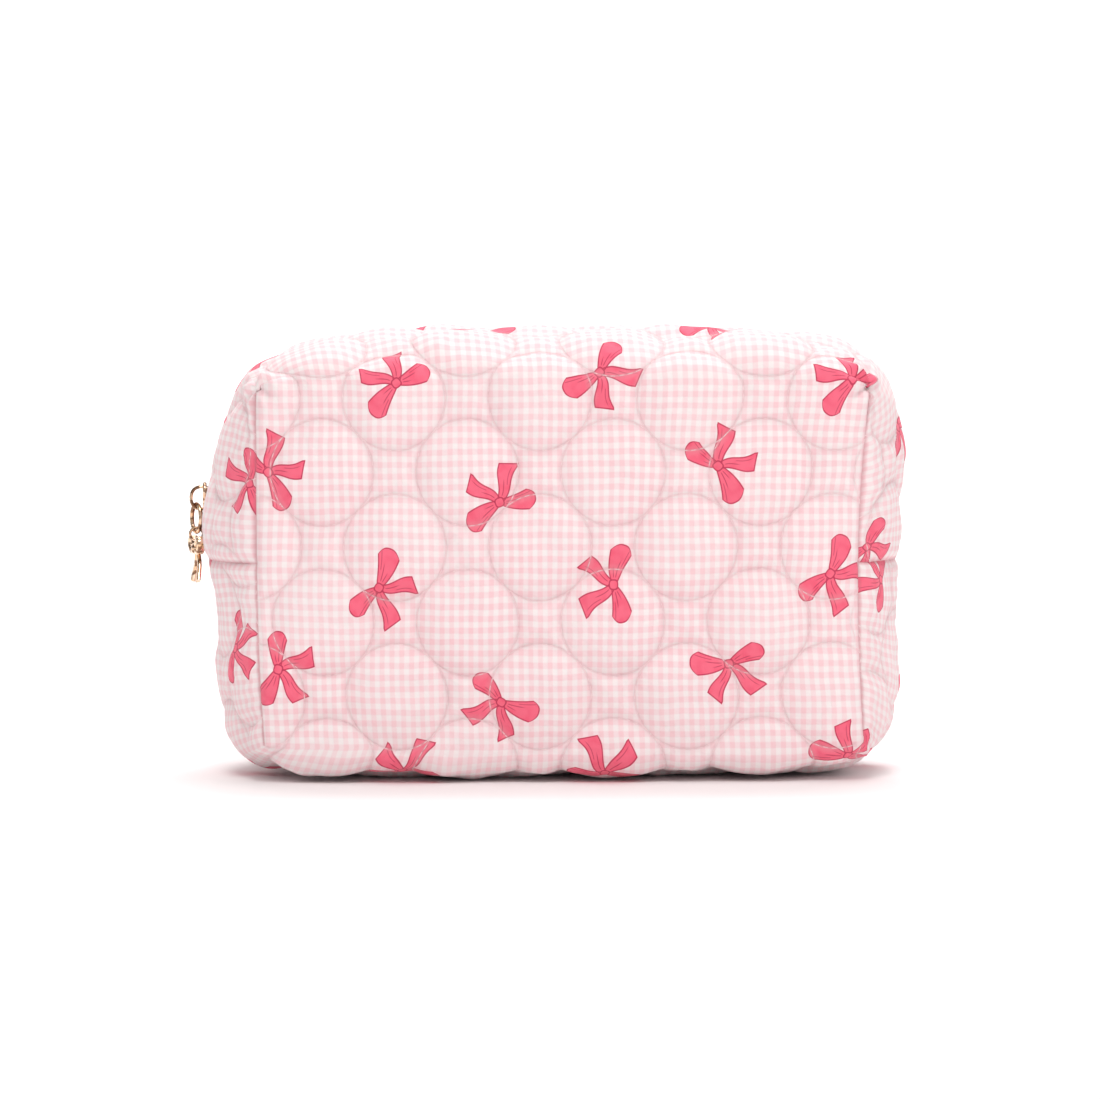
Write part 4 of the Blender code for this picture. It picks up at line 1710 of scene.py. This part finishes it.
    def charm(self) -> bpy.types.Object:
        """Make the ribbon bow: two open loops, two tails with cut ends, a knot and an eyelet.

        Returns:
            The charm.
        """
        low, high, (x, _, _) = node_box("bow_charm")
        z = high[2] - self.knot_drop
        eye = ring_path((x, 0, high[2] - self.eye_half), 0.0010, 0.0010, (0, 1, 0), 28)
        parts = [sweep(eye, (1, 0, 0), 0.0005, 0.00045, 10, True)]
        for sign in (-1, 1):
            parts += self.ribbon(x, z, (high[1] - low[1]) / 2, z - low[2], sign)
        parts.append(self.knot(x, z))
        points, faces = merge(parts)
        turn = np.array(Matrix.Rotation(self.charm_turn, 3, 'Z'))
        centre = np.array((x, 0.0, 0.0))
        return solid("ribbon_bow_charm", [((points - centre) @ turn.T + centre, faces)], self.gold)


# --- Stage -----------------------------------------------------------------------------------------

@dataclass(frozen=True)
class Stage:
    """Pale floor, soft lights and the camera."""

    azimuth: float = 2.75
    elevation: float = 2.6
    distance: float = 1.65
    lens: float = 150.0
    aim: tuple = (0.0, 0.0, 0.0795)
    world: float = 0.42

    def floor(self) -> None:
        """Lay a floor that curves up behind."""
        turn = np.linspace(0, math.pi / 2, 24)
        y = np.concatenate([[-3.0], 1.2 + 0.9 * np.sin(turn), [2.1]])
        z = np.concatenate([[0.0], 0.9 - 0.9 * np.cos(turn), [3.0]])
        points = np.array([[x, b, c] for x in (-4.0, 4.0) for b, c in zip(y, z)])
        count = len(y)
        faces = [[k, count + k, count + k + 1, k + 1] for k in range(count - 1)]
        shader = Shader("pale_floor", Roughness=0.85)
        tone = shader.noise(shader.place(), 3, 2)
        shader.feed("Base Color", shader.mix(tone, (0.95, 0.925, 0.925), (0.97, 0.945, 0.945)))
        make_object("floor", points, faces, shader.material)

    def light(self, name: str, place: tuple, size: float, power: float, colour: tuple,
              target: tuple | None = None) -> None:
        """Add a round area light.

        Args:
            name: its name.
            place: where it stands.
            size, power: in metres and watts.
            colour: its tint.
            target: where it points, or None for the bag.
        """
        lamp = bpy.data.lights.new(name, 'AREA')
        lamp.shape, lamp.size, lamp.energy, lamp.color = 'DISK', size, power, colour
        made = bpy.data.objects.new(name, lamp)
        bpy.context.scene.collection.objects.link(made)
        made.location = place
        made.rotation_euler = (Vector(target or self.aim) - Vector(place)).to_track_quat('-Z', 'Y').to_euler()

    def build(self) -> None:
        """Make the stage."""
        self.floor()
        white = (1.0, 1.0, 1.0)
        self.light("key", (-0.12, -1.42, 1.9), 0.9, 19.2, (1.0, 0.985, 0.97))
        self.light("fill", (1.5, -1.5, 0.65), 1.6, 4.3, (1.0, 0.99, 0.99))
        self.light("top", (0.4, 0.1, 1.9), 1.3, 8.0, white)
        self.light("backdrop", (0.0, 0.9, 2.2), 1.6, 36.0, white, (0.0, 2.1, 0.7))
        world = bpy.data.worlds.new("soft_studio")
        world.use_nodes = True
        sky = world.node_tree.nodes["Background"]
        sky.inputs["Color"].default_value = (1.0, 0.99, 0.985, 1.0)
        sky.inputs["Strength"].default_value = self.world
        scene = bpy.context.scene
        scene.world = world
        scene.view_settings.view_transform = 'Standard'
        lens = bpy.data.cameras.new("camera")
        lens.lens, lens.sensor_width = self.lens, 36.0
        camera = bpy.data.objects.new("camera", lens)
        scene.collection.objects.link(camera)
        turn, rise = math.radians(self.azimuth), math.radians(self.elevation)
        aim = Vector(self.aim)
        camera.location = aim + self.distance * Vector((-math.sin(turn) * math.cos(rise),
                                                        -math.cos(turn) * math.cos(rise), math.sin(rise)))
        camera.rotation_euler = (aim - camera.location).to_track_quat('-Z', 'Y').to_euler()
        scene.camera = camera


# --- The whole bag ---------------------------------------------------------------------------------

@dataclass(frozen=True)
class OuterPuff:
    """The outer cloth's puffs, seams, puckers and creases, as heights over the form."""

    form: BagForm
    quilting: Quilting
    padding_reach: tuple = (0.0055, 0.0032, 0.005)   # how soon it fills out from corners, end seams and zip
    wall_thin: tuple = (0.25, 0.45, 0.012)           # thinner at the top fold and bottom fold, over a reach
    crown_share: float = 0.60
    base_share: float = 0.40
    fold_share: tuple = (0.15, 0.010)                # the crown and the base are fuller next to their folds
    gather: float = 0.00045                          # gathers along the corner seams
    gather_pitch: float = 0.0085
    corner_groove: tuple = (0.0015, 0.0017)          # depth and half width
    end_groove: tuple = (0.0009, 0.0015)
    pinch_depth: tuple = (0.0042, 0.0045)            # the dimple at each boxed corner, and the folds round it
    pinch_folds: tuple = (0.0016, 0.007, 0.005)
    creases: tuple = ((0.00045, 0.030, 1), (0.00022, 0.011, 2))

    def __call__(self, patch: Patch) -> np.ndarray:
        """Read the heights.

        Args:
            patch: a stretch of the outer cloth.

        Returns:
            Height over the form at each point.
        """
        u, v = patch.cloth[..., 0], patch.cloth[..., 1]
        if patch.side is Side.BACK:
            u = BACK_SHIFT - u
        spots, corner = patch.points, patch.to_corner
        fade = 1.0
        for edge, reach in zip((corner, patch.to_end, patch.to_zip), self.padding_reach):
            fade = fade * (1 - np.exp(-edge / reach))
        if patch.part is Part.WALL:
            top, bottom, reach = self.wall_thin
            share = 1 - top * np.exp((v - v.max()) / reach) - bottom * np.exp((v.min() - v) / reach)
        else:
            rest = self.base_share if patch.part is Part.BASE else self.crown_share
            fuller, reach = self.fold_share
            share = rest + fuller * np.exp(-np.abs(v - v[:, :1]) / reach)
        height = self.quilting.relief(u, v) * fade * share
        slant = (spots[..., 2] + 0.3 * spots[..., 1]) * math.tau / self.gather_pitch
        gathers = np.sin(slant + 1.6 * waves(spots, 0.03, 3))
        height += self.gather * gathers * np.exp(-(corner / 0.011) ** 2) * (1 - np.exp(-corner / 0.002))
        for edge, (depth, half) in ((corner, self.corner_groove), (patch.to_end, self.end_groove)):
            height -= depth * np.exp(-(edge / half) ** 2)
        side, above = np.abs(patch.cloth[..., 0]) - self.form.wall_half, v - self.form.top_fold_z
        pinch = np.hypot(side, above)
        depth, half = self.pinch_depth
        height -= depth * np.exp(-(pinch / half) ** 2)
        depth, middle, half = self.pinch_folds
        folds = np.sin(6 * np.arctan2(above, side) + 0.8)
        height += depth * folds * np.exp(-((pinch - middle) / half) ** 2)
        return height + sum(depth * waves(spots, length, seed) for depth, length, seed in self.creases) * fade


def outer_marks(patch: Patch) -> dict[str, np.ndarray]:
    """How near the outer cloth's points are to its seams, for the painted shade along them, and where its
    stitching shows.
    """
    edge = np.minimum(patch.to_corner, patch.to_end)
    return {"seam": np.exp(-(edge / 0.0009) ** 2), "open_cloth": 1 - np.exp(-edge / 0.003)}


def lining_puff(patch: Patch) -> np.ndarray:
    """Soft creases in the lining."""
    fade = (1 - np.exp(-patch.to_end / 0.006)) * (1 - np.exp(-patch.to_zip / 0.006))
    return -0.0002 + 0.00015 * waves(patch.points, 0.035, 5) * fade


def enter(made: bpy.types.Object, stands_for: str | None = None) -> bpy.types.Object:
    """Log a finished piece and hide the frame's node that it replaces.

    Args:
        made: the piece.
        stands_for: the frame's node that it replaces, or None.

    Returns:
        The piece.
    """
    made.data.calc_loop_triangles()
    LOG.info("%s: %d triangles", made.name, len(made.data.loop_triangles))
    if stands_for:
        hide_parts(stands_for)
    return made


def bend(made: bpy.types.Object, side: Side | None) -> None:
    """Bake the transform of a piece on one half of the mouth into its mesh, or keep the piece on the base.

    Args:
        made: the piece.
        side: the half that it belongs to, or None for the base alone.
    """
    if side:
        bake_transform(made)
    else:
        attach(made, "root")


def build_cloth(form: BagForm) -> None:
    """Build the quilted outer cloth with its thread, and the lining.

    Args:
        form: the bag's form.
    """
    quilting = Quilting()
    gingham = GinghamFinish(quilting).material()
    shell = ClothShell(form, 0.0, 0.0026, 0.0013, OuterPuff(form, quilting), outer_marks).build()
    lining = ClothShell(form, 0.0050, 0.0056, 0.0040, lining_puff).build()
    lining_cloth = WovenFinish("lining_cloth", (0.93, 0.60, 0.66), (0.86, 0.48, 0.56)).material()
    cotton = NylonFinish("thread", (0.97, 0.78, 0.78), (0.92, 0.66, 0.68), 0.6).material()
    thread = Stitching(shell, quilting).build(cotton)
    for group, side, node in ((Group.FRONT, Side.FRONT, "front_upper"), (Group.BACK, Side.BACK, "back_upper"),
                              (Group.BASE, None, "lower")):
        name = group.name.lower()
        outer = enter(shell.piece(f"{name}_panel", group, gingham, BowPrint()), f"{node}_shell")
        inner = enter(lining.piece(f"{name}_lining", group, lining_cloth), f"{node}_lining")
        sewn = enter(thread[group])
        for made in (outer, inner, sewn):
            bend(made, side)


def build_zip(form: BagForm) -> None:
    """Build the tapes and coils, each on its half of the mouth.

    Args:
        form: the bag's form.
    """
    teeth = NylonFinish("zip_coil", (0.97, 0.74, 0.77), (0.90, 0.58, 0.64)).material()
    cloth = WovenFinish("zip_tape", (0.96, 0.66, 0.71), (0.90, 0.52, 0.60), 0.5).material()
    fitted = Zip(form)
    for side in Side:
        word = side.name.lower()
        tape = enter(fitted.tape(side, cloth), f"{word}_zip_tape")
        coil = enter(fitted.coil(side, teeth), f"{word}_zip_coil")
        bend(tape, side)
        bend(coil, side)


def build_bindings(form: BagForm) -> None:
    """Build the binding tapes over the inside seams.

    Args:
        form: the bag's form.
    """
    cloth = WovenFinish("binding_tape", (0.93, 0.46, 0.54), (0.86, 0.36, 0.46), 0.7).material()
    tapes = Bindings(form)
    for side in Side:
        word = side.name.lower()
        for end in ENDS:
            for lower in (True, False):
                made = enter(tapes.upright(side, end, lower, cloth),
                             f"{word}_{ENDS[end]}_{'lower' if lower else 'upper'}_binding")
                bend(made, None if lower else side)
    for end in ENDS:
        made = enter(tapes.level(end, cloth), f"{ENDS[end]}_end_binding")
        bend(made, None)


def build_metal() -> None:
    """Build the slider, the ring, the jump ring and the charm."""
    parts = SliderAndCharm(GoldFinish().material())
    for made, node, body in ((parts.slider(), "zip_slider", "slider"), (parts.ring(), "pull_ring", "pull"),
                             (parts.jump(), "jump_ring", "charm"), (parts.charm(), "bow_charm", "charm")):
        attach(enter(made, node), body)


def main() -> None:
    """Build the bag and its stage."""
    logging.basicConfig(level=logging.INFO, format="%(message)s")
    form = BagForm((0.1232, 0.1250), 0.1580, HINGE_Z)
    build_cloth(form)
    build_zip(form)
    build_bindings(form)
    build_metal()
    Stage().build()
    bpy.context.view_layer.update()


if __name__ == "__main__":
    main()
